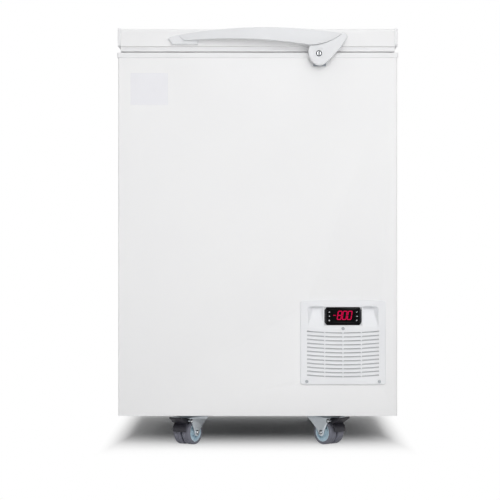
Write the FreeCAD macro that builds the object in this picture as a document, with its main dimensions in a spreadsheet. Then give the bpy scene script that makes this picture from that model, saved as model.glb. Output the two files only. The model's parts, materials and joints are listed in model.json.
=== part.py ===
import FreeCAD, Part
import math
import os
import re
import Sketcher
from FreeCAD import Rotation, Vector

# Low-temperature chest freezer of undercounter height, in millimetres.
# +X is to the right of somebody facing the front, +Y goes to the back, +Z is up.
# The origin lies on the floor, under the middle of the whole outline.

doc = FreeCAD.newDocument("chest_freezer")
sizes = doc.addObject("Spreadsheet::Sheet", "sizes")

driving_sizes = {
    # cabinet
    "cab_width": 558,
    "cab_depth": 640,
    "cab_bottom": 64,
    "cab_top": 780,
    "sheet_wall": 1.2,
    "cab_corner": 3,
    "lip_width": 15,
    "handle_reach": 40,
    "hinge_reach": 15,
    "collar_proud": 2,
    "collar_height": 10.5,
    "collar_round": 1.5,
    "pan_rise": 6,
    "pan_wall": 2,
    "cut_past": 1,
    # insulation and storage well
    "side_insulation": 80,
    "floor_insulation": 72,
    "step_insulation": 80,
    "liner_wall": 1.5,
    "coil_space": 8.6,
    "coil_tube": 3.5,
    "coil_gap": 0.6,
    "coil_turns": 3,
    "coil_pitch": 80,
    "coil_top": 60,
    "coil_bend": 4.6,
    # machine bay
    "bay_width": 230,
    "bay_headroom": 2.8,
    "bay_wall": 1.2,
    # rear panel
    "rear_slot_width": 70,
    "rear_slot_height": 5,
    "rear_slot_round": 2.2,
    "rear_slot_gap": 14,
    "rear_slot_pitch": 16,
    "rear_slot_count": 8,
    "rear_slot_rise": 74,
    # vent panel
    "vent_width": 170.6,
    "vent_height": 168,
    "vent_side": 108.5,
    "vent_rise": 63.2,
    "vent_corner": 5.5,
    "vent_proud": 5,
    "vent_wall": 2.6,
    "vent_edge": 1.2,
    "vent_overlap": 8,
    "vent_lap_gap": 0.5,
    "recess_side": 13.8,
    "recess_height": 40,
    "recess_top_margin": 12.6,
    "recess_depth": 12,
    "recess_narrow": 16,
    "recess_arch": 1.4,
    "recess_back_height": 12,
    "recess_corner": 5,
    "louvre_side": 13.3,
    "louvre_gap": 2.2,
    "louvre_slot": 2.8,
    "louvre_sag": 3.5,
    "louvre_top_margin": 60.6,
    "louvre_low_margin": 19.95,
    "louvre_count": 12,
    "louvre_segments": 4,
    "louvre_slant": 30,
    "screw_side_margin": 12.8,
    "screw_low_margin": 6,
    "screw_top_margin": 56.2,
    "screw_boss": 5,
    "screw_head": 3.2,
    "screw_head_height": 1.6,
    "screw_slot_depth": 1,
    "screw_shank": 1.7,
    "screw_length": 10,
    "screw_slot": 0.8,
    "screw_gap": 0.2,
    "filter_margin": 2,
    "filter_low_margin": 11.7,
    "filter_top_margin": 61.7,
    "filter_wall": 5,
    # controller
    "bezel_width": 74.4,
    "bezel_height": 35.8,
    "bezel_top_margin": 13.6,
    "bezel_depth": 5,
    "bezel_proud": 0.8,
    "bezel_cut_side": 4.6,
    "bezel_cut_rise": 6,
    "bezel_slope": 3.6,
    "bezel_gap": 0.3,
    "bezel_collar": 2.6,
    "case_side": 2.2,
    "case_end": 3.9,
    "case_depth": 56,
    "window_side": 1.7,
    "window_end": 6.8,
    "window_depth": 1.6,
    "key_width": 8,
    "key_height": 6.4,
    "key_pitch": 8.3,
    "key_side": 9.8,
    "key_proud": 0.9,
    "key_travel": 0.8,
    "key_gap": 0.3,
    "key_stem": 2.6,
    "key_round": 0.8,
    # compressor
    "pump_radius": 68,
    "pump_headroom": 61,
    "pump_dome": 40,
    "pump_dome_bulge": 11.2,
    "pump_top_flat": 17,
    "pump_base_flat": 47.6,
    "pump_base_bulge": 6.1,
    "pump_base_rise": 30,
    "pump_seam": 3,
    "pump_seam_height": 4,
    "pump_back": 150,
    "pump_foot_span": 150,
    "pump_foot_depth": 120,
    "pump_foot_wall": 3,
    "pump_foot_hole": 6,
    "grommet_height": 14,
    "grommet_radius": 10,
    "grommet_neck": 5.75,
    "grommet_tip": 2.5,
    "relay_width": 52,
    "relay_depth": 34,
    "relay_height": 62,
    "relay_gap": 0.3,
    # condenser and fan
    "cond_front": 72,
    "cond_side": 17,
    "cond_pipe_room": 37,
    "cond_height": 150,
    "cond_depth": 44,
    "cond_low": 6,
    "fin_wall": 0.8,
    "fin_count": 12,
    "cond_tube": 4,
    "cond_tube_rows": 4,
    "cond_tube_pitch": 34,
    "cond_column": 9.7,
    "cond_plate": 1.5,
    "shroud_gap": 6,
    "shroud_wall": 2,
    "shroud_depth": 22,
    "shroud_head": 8,
    "fan_rise": 4,
    "fan_radius": 55,
    "fan_tip_gap": 4,
    "hub_radius": 17,
    "hub_depth": 14,
    "blade_count": 5,
    "blade_chord": 26,
    "blade_wall": 1.6,
    "blade_camber": 3,
    "blade_pitch": 30,
    "blade_root": 2,
    "motor_radius": 27,
    "motor_depth": 42,
    "motor_gap": 5,
    "fan_shaft": 3,
    "fan_shaft_stub": 2,
    "strut_width": 16,
    "strut_wall": 2,
    # refrigerant line
    "drier_radius": 11,
    "drier_length": 80,
    "drier_bulge": 1,
    "drier_side": 28,
    "drier_rise": 46,
    "drier_behind": 8,
    "line_radius": 3,
    "line_bend": 14,
    "short_bend": 7,
    "line_side": 7,
    "line_headroom": 18,
    # power inlet
    "inlet_side": 41,
    "inlet_rise": 39,
    "inlet_plate_width": 30,
    "inlet_plate_height": 48,
    "inlet_plate_wall": 2.5,
    "inlet_body_width": 27,
    "inlet_body_height": 22,
    "inlet_body_depth": 26,
    "inlet_hole_width": 24,
    "inlet_hole_height": 16.6,
    "inlet_hole_depth": 18,
    "inlet_hole_cut": 5,
    "inlet_pin_width": 2,
    "inlet_pin_height": 4,
    "inlet_pin_spread": 7,
    "inlet_pin_length": 16,
    # lid
    "lid_height": 35,
    "lid_overhang": 1,
    "lid_proud": 1,
    "lid_sheet": 1,
    "lid_round": 5,
    "trim_width": 6,
    "trim_rise": 2,
    "trim_round": 5,
    "seal_space": 2.5,
    "band_height": 10,
    "band_inset": 5.5,
    "lid_liner_wall": 2,
    "plug_clear": 10,
    "plug_drop": 28,
    "gasket_inset": 9,
    "gasket_width": 18,
    "gasket_gap": 0.3,
    "gasket_dart": 3,
    "gasket_dart_rise": 1.4,
    # hinges
    "hinge_spread": 190,
    "hinge_axis_reach": 8.5,
    "hinge_axis_drop": 6,
    "knuckle_radius": 6.5,
    "hinge_pin_radius": 3,
    "hinge_fit": 0.05,
    "hinge_width": 60,
    "arm_knuckle": 22,
    "knuckle_gap": 0.4,
    "base_leaf_wall": 4.8,
    "base_leaf_height": 36,
    "base_leaf_gap": 2,
    "arm_leaf_wall": 3,
    "arm_leaf_gap": 4,
    "arm_leaf_height": 26,
    "neck_lap": 8,
    "neck_base_reach": 3,
    "neck_arm_reach": 1.5,
    "pin_head": 4.5,
    "pin_head_depth": 2,
    # handle, measured up from the underside of the lid skin
    "grip_left": -157.8,
    "grip_left_up": 21.6,
    "grip_heel": -146.9,
    "grip_heel_up": 10.3,
    "grip_nose": 46.2,
    "grip_nose_up": 23.8,
    "grip_top_rise": 12,
    "grip_under_rise": -7,
    "seam_back": 18.2,
    "seam_up": 0.4,
    "seam_sag": 5.6,
    "grip_left_reach": 12,
    "grip_right_reach": 27,
    "grip_bow": 20.5,
    "grip_carve": 5,
    "finger_left": -118,
    "finger_back": 17.8,
    "finger_left_reach": 9,
    "finger_right_reach": 16,
    "finger_bow": 15,
    "foot_left": -178.6,
    "foot_lap": 1,
    "foot_bottom": 3.2,
    "foot_top": 21.5,
    "foot_slant": 8,
    "foot_shoulder": 16,
    "foot_nose": 11.5,
    "foot_bulge": 1.5,
    "foot_depth": 9,
    "foot_round": 2,
    # lock
    "housing_gap": 0.2,
    "chin_back": 12.3,
    "chin_back_drop": 33.4,
    "chin_reach": 14.4,
    "chin_reach_drop": 34.4,
    "chin_rise": 5.4,
    "cheek_rise": 5.4,
    "housing_tip": 56.6,
    "housing_tip_up": 16.1,
    "housing_side_rise": 2.4,
    "housing_tip_rise": 3.6,
    "housing_back": 12,
    "housing_front": 27,
    "housing_wall": 3,
    "housing_round": 2,
    "lock_x": 121.8,
    "lock_drop": 16,
    "lock_radius": 6,
    "lock_fit": 0.05,
    "lock_ring": 11,
    "lock_ring_depth": 1,
    "lock_proud": 1.5,
    "cam_room": 17.5,
    "cam_front": 8.5,
    "cam_wall": 2,
    "cam_length": 12,
    "cam_width": 8,
    "key_slot_width": 1.6,
    "key_slot_height": 7,
    "key_slot_depth": 6,
    "keeper_back": 11.2,
    "keeper_width": 26,
    "keeper_height": 16.8,
    "keeper_wall": 2,
    "keeper_clear": 1,
    "keeper_top_gap": 0.5,
    "keeper_ledge_rise": 5.3,
    "keeper_ledge_reach": 11,
    "keeper_ledge_width": 4,
    # casters
    "caster_side_inset": 149,
    "caster_front_inset": 92.5,
    "caster_back_inset": 92.5,
    "swivel_front_right": -47,
    "swivel_front_left": -123,
    "swivel_back_right": 75,
    "swivel_back_left": 110,
    "caster_trail": 22,
    "wheel_radius": 25,
    "wheel_width": 18,
    "wheel_split": 3,
    "wheel_side_gap": 0.8,
    "tyre_depth": 5.5,
    "tyre_round": 3,
    "tyre_bulge": 0.88,
    "rim_wall": 2.5,
    "rim_draft": 1,
    "wheel_dish": 9,
    "hub_boss": 7,
    "axle_radius": 3,
    "axle_fit": 0.06,
    "fork_wall": 1.8,
    "fork_front": 18,
    "fork_back": 24,
    "fork_shoulder": 3,
    "fork_toe": 8,
    "fork_hollow": 1.5,
    "fork_round": 4,
    "rivet_radius": 4.5,
    "rivet_height": 1.4,
    "race_radius": 20,
    "race_height": 11.5,
    "race_round": 4,
    "race_bulge": 1.17,
    "race_gap": 0.5,
    "kingpin_radius": 5,
    "kingpin_fit": 0.08,
    "kingpin_head": 8,
    "kingpin_head_height": 2,
    "mount_plate": 58,
    "mount_plate_wall": 2.5,
    "mount_bolt_spacing": 42,
    "mount_bolt_head": 5,
    "mount_bolt_height": 3,
    "pedal_pin_x": 42,
    "pedal_pin_drop": 7,
    "pedal_pin_radius": 2,
    "pedal_pin_fit": 0.06,
    "pedal_pin_end": 1,
    "pedal_width": 30,
    "pedal_cover_gap": 4.5,
    "pedal_cover_wall": 2.5,
    "pedal_cover_low": 2,
    "pedal_cover_bulge": 3,
    "pedal_cover_turn": 35,
    "pedal_inner_turn": 45,
    "pedal_inner_bulge": -4,
    "pedal_tip_reach": 25,
    "pedal_tip_rise": 8.5,
    "pedal_wall": 3,
    "pedal_tip_bulge": 0.6,
    "pedal_crest_reach": 5,
    "pedal_crest_rise": 3.5,
    "pedal_crest_bulge": 2,
    "pedal_heel_reach": 4,
    "pedal_heel_rise": 2,
    "pedal_heel_bulge": 1.5,
}

# Sizes that follow from others
worked_sizes = {
    "pan_bottom": "cab_bottom+pan_rise",
    "rear_slot_bottom": "cab_bottom+rear_slot_rise",
    "vent_bottom": "cab_bottom+vent_rise",
    "vent_middle": "cab_width/2-vent_side",
    "bay_height": "vent_bottom+vent_height+bay_headroom-pan_bottom-pan_wall",
    "recess_width": "vent_width-2*recess_side",
    "louvre_span": "vent_width-2*louvre_side",
    "louvre_pitch": "(vent_height-louvre_top_margin-louvre_low_margin)/(louvre_count-1)",
    "case_width": "bezel_width-2*case_side",
    "case_height": "bezel_height-2*case_end",
    "key_column": "bezel_width/2-key_side",
    "window_width": "2*key_column-key_width-2*key_gap-2*window_side",
    "window_height": "bezel_height-2*window_end",
    "pump_x": "cab_width/2-bay_width/2",
    "pump_height": "bay_height-pump_headroom",
    "cond_left": "cab_width/2-bay_width+cond_side",
    "cond_width": "bay_width-cond_side-cond_pipe_room",
    "fin_pitch": "(cond_width-2*cond_plate-fin_wall)/(fin_count+1)",
    "inlet_x": "cab_width/2-bay_width+inlet_side",
    "inlet_z": "cab_bottom+inlet_rise",
    "lid_width": "cab_width+2*lid_overhang",
    "band_bottom": "cab_top+collar_height+seal_space",
    "lid_bottom": "band_bottom+band_height",
    "lid_top": "lid_bottom+lid_height",
    "hinge_axis_z": "lid_bottom-hinge_axis_drop",
    "seam_left": "lock_x-seam_back",
    "grip_right": "lock_x+grip_nose",
    "finger_right": "lock_x-finger_back",
    "foot_right": "finger_left-foot_lap",
    "lock_z": "lid_bottom-lock_drop",
    "keeper_left": "lock_x-keeper_back",
    "keeper_ledge_z": "lock_z+keeper_ledge_rise",
    "caster_x": "cab_width/2-caster_side_inset",
    "fork_top_z": "pan_bottom-mount_plate_wall-race_height",
    "pedal_pin_z": "fork_top_z-pedal_pin_drop",
}

for row, (alias, value) in enumerate({**driving_sizes, **worked_sizes}.items(), start=1):
    sizes.set(f"A{row}", alias.replace("_", " "))
    sizes.set(f"B{row}", f"={value}")
    sizes.setAlias(f"B{row}", alias)
    doc.recompute()


def linked(text):
    """Write the sheet's name before each size in an expression."""
    known = driving_sizes.keys() | worked_sizes.keys()
    return re.sub(r"[a-z][a-z_]*", lambda hit: f"sizes.{hit.group()}" if hit.group() in known else hit.group(), text)


def number(text):
    """Work out an expression of sizes."""
    return float(sizes.evalExpression(linked(text)))


def bind(item, prop, text):
    item.setExpression(prop, linked(text))


def place(item, at=("0", "0", "0"), turn="0", axis=Vector(0, 0, 1)):
    """Put an item at a point, turned about an axis, by expressions."""
    item.Placement.Rotation = Rotation(axis, 0)
    item.Placement = FreeCAD.Placement(Vector(0, 0, 0), Rotation(axis, number(turn) or 1e-9))
    for letter, text in zip("xyz", at):
        bind(item, f".Placement.Base.{letter}", text)
    if number(turn):
        bind(item, ".Placement.Rotation.Angle", turn)
    return item


# Part primitives and booleans
def block(name, across, along, up):
    """A box between two positions on each axis."""
    item = doc.addObject("Part::Box", name)
    for prop, letter, (low, high) in zip(("Length", "Width", "Height"), "xyz", (across, along, up)):
        bind(item, prop, f"({high})-({low})")
        bind(item, f".Placement.Base.{letter}", low)
    return item


axis_turns = {"x": (Vector(0, 1, 0), 90), "y": (Vector(1, 0, 0), -90), "z": (Vector(0, 0, 1), 0)}


def rod(name, radius, axis, start, length):
    """A cylinder that starts at a point and runs along +axis."""
    item = doc.addObject("Part::Cylinder", name)
    bind(item, "Radius", radius)
    bind(item, "Height", length)
    item.Placement = FreeCAD.Placement(Vector(0, 0, 0), Rotation(*axis_turns[axis]))
    for letter, text in zip("xyz", start):
        bind(item, f".Placement.Base.{letter}", text)
    return item


def joined(name, items):
    item = doc.addObject("Part::MultiFuse", name)
    item.Shapes = items
    item.Refine = True
    return item


def trimmed(name, base, tools):
    """A base with tools taken away."""
    item = doc.addObject("Part::Cut", name)
    item.Base = base
    item.Tool = tools[0] if len(tools) == 1 else joined(f"{name}_tools", tools)
    item.Refine = True
    return item


def grouped(name, items):
    """Separate solids that share one node."""
    item = doc.addObject("Part::Compound", name)
    item.Links = items
    return item


# PartDesign bodies
def new_body(name, at=("0", "0", "0"), turn="0"):
    return place(doc.addObject("PartDesign::Body", name), at, turn)


def plane_of(body, role):
    return next(item for item in body.Origin.OriginFeatures if item.Role == role)


def new_sketch(body, role, name, offset="0"):
    """A sketch on an origin plane: XZ looks along +Y, YZ looks along -X, XY looks down."""
    sketch = body.newObject("Sketcher::SketchObject", name)
    sketch.AttachmentSupport = [(plane_of(body, f"{role}_Plane"), "")]
    sketch.MapMode = "FlatFace"
    bind(sketch, ".AttachmentOffset.Base.z", offset)
    return sketch


def tie(sketch, kind, places, text):
    index = sketch.addConstraint(Sketcher.Constraint(kind, *places, number(text)))
    bind(sketch, f"Constraints[{index}]", text)


def draw_loop(sketch, corners):
    """A closed outline, drawn anticlockwise.

    A corner is (x, y), or (x, y, rise) where an arc leads on to the next corner:
    a rise above zero swells outwards and a rise below zero hollows the outline.
    """
    ends = []
    for index, corner in enumerate(corners):
        following = corners[(index + 1) % len(corners)]
        start = Vector(number(corner[0]), number(corner[1]), 0)
        end = Vector(number(following[0]), number(following[1]), 0)
        rise = number(corner[2]) if len(corner) > 2 else 0
        if not rise:
            edge = sketch.addGeometry(Part.LineSegment(start, end), False)
            ends.append((edge, 1, 2))
            continue
        chord = end - start
        radius = (chord.Length ** 2 / 4 + rise ** 2) / (2 * abs(rise))
        outward = Vector(chord.y, -chord.x, 0).normalize()
        middle = (start + end) * 0.5
        side = 1 if rise > 0 else -1
        centre = middle + outward * (rise - side * radius)
        from_angle = math.atan2(start.y - centre.y, start.x - centre.x)
        to_angle = math.atan2(end.y - centre.y, end.x - centre.x)
        if rise < 0:
            from_angle, to_angle = to_angle, from_angle
        if to_angle < from_angle:
            to_angle += 2 * math.pi
        circle = Part.Circle(centre, Vector(0, 0, 1), radius)
        edge = sketch.addGeometry(Part.ArcOfCircle(circle, from_angle, to_angle), False)
        ends.append((edge, 1, 2) if rise > 0 else (edge, 2, 1))
    for index, corner in enumerate(corners):
        edge, head, tail = ends[index]
        before, _, before_tail = ends[index - 1]
        sketch.addConstraint(Sketcher.Constraint("Coincident", before, before_tail, edge, head))
    for index, corner in enumerate(corners):
        edge, head, tail = ends[index]
        tie(sketch, "DistanceX", (-1, 1, edge, head), corner[0])
        tie(sketch, "DistanceY", (-1, 1, edge, head), corner[1])
        if len(corner) > 2 and number(corner[2]):
            tie_arc_centre(sketch, edge, corner, corners[(index + 1) % len(corners)])


def tie_arc_centre(sketch, edge, corner, after):
    """Hold an arc by its centre, along the axis that its chord is nearer to crossing."""
    run, climb, rise = f"(({after[0]})-({corner[0]}))", f"(({after[1]})-({corner[1]}))", f"({corner[2]})"
    span = f"sqrt({run}^2+{climb}^2)"
    reach = f"({rise}/2-{span}^2/(8*{rise}))/{span}"
    if abs(number(run)) >= abs(number(climb)):
        tie(sketch, "DistanceY", (-1, 1, edge, 3), f"(({corner[1]})+({after[1]}))/2-{run}*{reach}")
    else:
        tie(sketch, "DistanceX", (-1, 1, edge, 3), f"(({corner[0]})+({after[0]}))/2+{climb}*{reach}")


def draw_rectangle(sketch, across, up, corner="0"):
    """A rectangle between two positions each way, with its corners rounded."""
    (left, right), (low, high) = across, up
    if not number(corner):
        draw_loop(sketch, [(left, low), (right, low), (right, high), (left, high)])
        return
    rise = f"({corner})*(1-sqrt(0.5))"
    draw_loop(sketch, [
        (f"({left})+({corner})", low), (f"({right})-({corner})", low, rise),
        (right, f"({low})+({corner})"), (right, f"({high})-({corner})", rise),
        (f"({right})-({corner})", high), (f"({left})+({corner})", high, rise),
        (left, f"({high})-({corner})"), (left, f"({low})+({corner})", rise),
    ])


def draw_circle(sketch, across, up, radius):
    middle = Vector(number(across), number(up), 0)
    edge = sketch.addGeometry(Part.Circle(middle, Vector(0, 0, 1), number(radius)), False)
    tie(sketch, "DistanceX", (-1, 1, edge, 3), across)
    tie(sketch, "DistanceY", (-1, 1, edge, 3), up)
    tie(sketch, "Radius", (edge,), radius)


def feature(body, kind, name, profile):
    item = body.newObject(f"PartDesign::{kind}", name)
    item.Profile = profile
    return item


def pad(body, sketch, length, backwards=False, centred=False):
    item = feature(body, "Pad", f"{sketch.Name}_pad", sketch)
    bind(item, "Length", length)
    item.Reversed = backwards
    item.Midplane = centred
    return item


def pocket(body, sketch, length, backwards=False, centred=False):
    """Cut against the sketch's normal, or along it when backwards."""
    item = feature(body, "Pocket", f"{sketch.Name}_pocket", sketch)
    bind(item, "Length", length)
    item.Reversed = backwards
    item.Midplane = centred
    return item


def turned(body, sketch, kind="Revolution", line="V_Axis"):
    """Material, or a groove, turned fully about a sketch axis."""
    item = feature(body, kind, f"{sketch.Name}_turned", sketch)
    item.ReferenceAxis = (sketch, [line])
    item.Angle = 360
    return item


def edges_where(item, test):
    """Names of the edges of a feature that a test picks by their middle point and direction."""
    picked = []
    for index, edge in enumerate(item.Shape.Edges, start=1):
        middle = edge.valueAt((edge.FirstParameter + edge.LastParameter) / 2)
        ends = edge.Vertexes
        way = (ends[-1].Point - ends[0].Point) if len(ends) > 1 else Vector(0, 0, 0)
        if test(middle, way, edge):
            picked.append(f"Edge{index}")
    return picked


def eased(body, base, test, size, kind="Fillet"):
    """Round, or chamfer, the edges that a test picks."""
    doc.recompute()
    names = edges_where(base, test)
    item = body.newObject(f"PartDesign::{kind}", f"{base.Name}_{kind.lower()}")
    item.Base = (base, names)
    bind(item, "Radius" if kind == "Fillet" else "Size", size)
    body.Tip = item
    return item


def rows(body, item, line, span, count):
    """Repeat a feature along a line: the span is from the first copy to the last."""
    doc.recompute()
    copies = body.newObject("PartDesign::LinearPattern", f"{item.Name}_rows")
    copies.Originals = [item]
    copies.Direction = line
    bind(copies, "Length", span)
    bind(copies, "Occurrences", count)
    body.Tip = copies
    return copies


def ring_of(body, item, line, count):
    """Repeat a feature evenly about an axis."""
    doc.recompute()
    copies = body.newObject("PartDesign::PolarPattern", f"{item.Name}_ring")
    copies.Originals = [item]
    copies.Axis = line
    copies.Angle = 360
    bind(copies, "Occurrences", count)
    body.Tip = copies
    return copies


def near(first, second, slack=0.01):
    return abs(first - second) < slack


def pipe_run(places, radius, bend):
    """A round tube along straight runs joined by tangent bends."""
    points = [Vector(*(number(text) for text in point)) for point in places]
    edges = []
    last = points[0]
    for before, corner, after in zip(points, points[1:], points[2:]):
        come = (corner - before).normalize()
        leave = (after - corner).normalize()
        half_turn = come.getAngle(leave) / 2
        cut_back = bend * math.tan(half_turn)
        start, end = corner - come * cut_back, corner + leave * cut_back
        inward = (leave - come).normalize()
        middle = corner + inward * (bend / math.cos(half_turn) - bend)
        edges.append(Part.LineSegment(last, start).toShape())
        edges.append(Part.Arc(start, middle, end).toShape())
        last = end
    edges.append(Part.LineSegment(last, points[-1]).toShape())
    path = Part.Wire(edges)
    ring = Part.Wire(Part.makeCircle(radius, points[0], points[1] - points[0]))
    return path.makePipeShell([ring], True, True)


# Places that several pieces share
front = "(handle_reach-hinge_reach-cab_depth)/2"
rear = "(handle_reach-hinge_reach+cab_depth)/2"
half = "cab_width/2"
inside = "(cab_width/2-sheet_wall)"
inside_front = f"({front}+sheet_wall)"
inside_rear = f"({rear}-sheet_wall)"
pan_top = "(pan_bottom+pan_wall)"
bay_left = "(cab_width/2-bay_width)"
bay_top = f"({pan_top}+bay_height)"
well_side = "(cab_width/2-side_insulation)"
well_front = f"({front}+side_insulation)"
well_rear = f"({rear}-side_insulation)"
well_floor = f"({pan_top}+floor_insulation)"
step_floor = f"({bay_top}+step_insulation)"
deep_right = f"({bay_left}-side_insulation)"
collar_top = "(cab_top+collar_height)"
lid_front = f"({front}-lid_proud)"
lid_rear = rear
skin_side = "(lid_width/2-trim_width)"


def outer_shell():
    """Front and both sides, folded from one sheet, with a return along the bottom."""
    body = new_body("outer_shell")
    plan = new_sketch(body, "XY", "shell_plan", "cab_bottom")
    draw_loop(plan, [
        (f"-{half}", front), (half, front), (half, inside_rear), (inside, inside_rear),
        (inside, inside_front), (f"-{inside}", inside_front), (f"-{inside}", inside_rear),
        (f"-{half}", inside_rear),
    ])
    wall = pad(body, plan, "cab_top-cab_bottom")
    lip = new_sketch(body, "XY", "shell_lip", "cab_bottom")
    lip_side = f"({inside}-lip_width)"
    lip_front = f"({inside_front}+lip_width)"
    draw_loop(lip, [
        (f"-{inside}", inside_front), (inside, inside_front), (inside, inside_rear),
        (lip_side, inside_rear), (lip_side, lip_front), (f"-{lip_side}", lip_front),
        (f"-{lip_side}", inside_rear), (f"-{inside}", inside_rear),
    ])
    pad(body, lip, "sheet_wall")
    opening = new_sketch(body, "XZ", "vent_opening", f"-({front})")
    draw_rectangle(
        opening,
        ("vent_middle-vent_width/2+vent_overlap", "vent_middle+vent_width/2-vent_overlap"),
        ("vent_bottom+vent_overlap", "vent_bottom+vent_height-vent_overlap"),
        "vent_corner")
    pocket(body, opening, "sheet_wall")
    pilots = new_sketch(body, "XZ", "screw_pilots", f"-({front})")
    for at_x, at_z in screw_places()[:2]:
        draw_circle(pilots, at_x, at_z, "screw_shank")
    cut = pocket(body, pilots, "sheet_wall")
    corner_x, corner_y = number(half), number(front)
    eased(body, cut, lambda at, way, edge: near(abs(at.x), corner_x) and near(at.y, corner_y)
          and abs(way.z) > corner_x, "cab_corner")
    return body


def rear_panel():
    """Flat back sheet with rows of air slots behind the machine bay and a cut-out for the inlet."""
    body = new_body("rear_panel")
    outline = new_sketch(body, "XZ", "rear_outline", f"-({rear})")
    draw_rectangle(outline, (f"-{half}", half), ("cab_bottom", "cab_top"))
    pad(body, outline, "sheet_wall")
    hole = new_sketch(body, "XZ", "inlet_cutout", f"-({rear})")
    draw_rectangle(hole, ("inlet_x-inlet_body_width/2", "inlet_x+inlet_body_width/2"),
                   ("inlet_z-inlet_body_height/2", "inlet_z+inlet_body_height/2"))
    pocket(body, hole, "sheet_wall", backwards=True)
    slots = new_sketch(body, "XZ", "rear_slots", f"-({rear})")
    middle = "(cab_width/2-bay_width/2)"
    for side in ("-", "+"):
        near_edge = f"({middle}{side}rear_slot_gap/2)"
        far_edge = f"({middle}{side}(rear_slot_gap/2+rear_slot_width))"
        span = (far_edge, near_edge) if side == "-" else (near_edge, far_edge)
        draw_rectangle(slots, span, ("rear_slot_bottom", "rear_slot_bottom+rear_slot_height"),
                       "rear_slot_round")
    first = pocket(body, slots, "sheet_wall", backwards=True)
    rows(body, first, (slots, ["V_Axis"]), "rear_slot_pitch*(rear_slot_count-1)", "rear_slot_count")
    return body


def well_blocks(name, grow, lift, top):
    """The stepped space of the storage well, grown outwards by a distance."""
    upper = block(f"{name}_upper", (f"-({well_side}+{grow})", f"{well_side}+{grow}"),
                  (f"{well_front}-{grow}", f"{well_rear}+{grow}"), (f"{step_floor}-{lift}", top))
    deep = block(f"{name}_deep", (f"-({well_side}+{grow})", f"{deep_right}+{grow}"),
                 (f"{well_front}-{grow}", f"{well_rear}+{grow}"), (f"{well_floor}-{lift}", top))
    return [upper, deep]


def inner_liner():
    """Stepped metal tub, open at the top."""
    outside = joined("liner_outside", well_blocks("liner_out", "liner_wall", "liner_wall", "cab_top"))
    return trimmed("inner_liner", outside, well_blocks("liner_in", "0", "0", "cab_top+cut_past"))


def insulation_foam():
    """Foam between the shell and the liner, cut away for the machine bay."""
    bulk = block("foam_bulk", (f"-{inside}", inside), (inside_front, inside_rear), (pan_top, "cab_top"))
    bay = block("foam_bay", (bay_left, inside), (inside_front, inside_rear), (pan_top, bay_top))
    hollow = well_blocks("foam_hollow", "(liner_wall+coil_space)", "liner_wall", "cab_top+cut_past")
    return trimmed("insulation_foam", bulk, [bay] + hollow)


def evaporator_coil():
    """Tube wound round the upper part of the liner, falling a quarter of its pitch at each corner."""
    away = "(liner_wall+coil_gap+coil_tube)"
    side, near_y, far_y = f"({well_side}+{away})", f"({well_front}-{away})", f"({well_rear}+{away})"
    corners = [(side, far_y), (side, near_y), (f"-{side}", near_y), (f"-{side}", far_y)]
    quarters = int(number("coil_turns")) * len(corners)
    places = [("0", far_y, "cab_top-coil_top")]
    for quarter in range(quarters):
        places.append((*corners[quarter % len(corners)], f"cab_top-coil_top-coil_pitch*({quarter}+0.5)/4"))
    places.append(("0", far_y, "cab_top-coil_top-coil_pitch*coil_turns"))
    item = doc.addObject("Part::Feature", "evaporator_coil")
    item.Shape = pipe_run(places, number("coil_tube"), number("coil_bend"))
    return item


def top_collar():
    """Moulded frame that closes the wall between the shell and the liner."""
    body = new_body("top_collar")
    ring = new_sketch(body, "XY", "collar_ring", "cab_top")
    side = f"({half}+collar_proud)"
    draw_rectangle(ring, (f"-{side}", side), (f"{front}-collar_proud", rear), "cab_corner")
    draw_rectangle(ring, (f"-{well_side}", well_side), (well_front, well_rear))
    frame = pad(body, ring, "collar_height")
    top, low, edge_x, edge_y = number(collar_top), number("cab_top"), number(side), number(front)
    eased(body, frame, lambda at, way, edge: (near(at.z, top) or near(at.z, low))
          and (abs(at.x) > edge_x - 2 or at.y < edge_y), "collar_round")
    return body


def base_pan():
    """Floor sheet that carries the casters, the foam and the machine bay."""
    body = new_body("base_pan")
    plan = new_sketch(body, "XY", "pan_plan", "pan_bottom")
    draw_rectangle(plan, (f"-{inside}", inside), (inside_front, inside_rear))
    pad(body, plan, "pan_wall")
    return body


def machine_bay_wall():
    """Folded sheet between the foam and the machine bay."""
    body = new_body("machine_bay_wall")
    profile = new_sketch(body, "XZ", "bay_profile", f"-({inside_front})")
    draw_loop(profile, [
        (bay_left, pan_top), (f"{bay_left}+bay_wall", pan_top),
        (f"{bay_left}+bay_wall", f"{bay_top}-bay_wall"), (inside, f"{bay_top}-bay_wall"),
        (inside, bay_top), (bay_left, bay_top),
    ])
    pad(body, profile, f"{inside_rear}-{inside_front}", backwards=True)
    return body


vent_left = "(vent_middle-vent_width/2)"
vent_right = "(vent_middle+vent_width/2)"
vent_top = "(vent_bottom+vent_height)"
recess_top = f"({vent_top}-recess_top_margin)"
bezel_top = f"({vent_top}-bezel_top_margin)"
bezel_bottom = f"({bezel_top}-bezel_height)"
bezel_middle = f"({bezel_top}-bezel_height/2)"
vent_face = f"({front}-vent_proud)"


def recess_section(body, name, depth, grow, back):
    """One section of the scoop round the controller: shallow at the bottom, deep at the top."""
    sketch = new_sketch(body, "XZ", name, f"-({vent_face}+{depth})")
    narrow = "recess_narrow/2" if back else "0"
    wide = f"(recess_width/2-{narrow}+{grow})"
    tall = "recess_back_height" if back else "recess_height"
    top = f"({recess_top}+{grow})"
    low = f"({recess_top}-{tall}-{grow})"
    draw_loop(sketch, [
        (f"vent_middle-{wide}", low), (f"vent_middle+{wide}", low, "-recess_arch"),
        (f"vent_middle+{wide}", top, "recess_arch"), (f"vent_middle-{wide}", top, "-recess_arch"),
    ])
    return sketch


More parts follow.
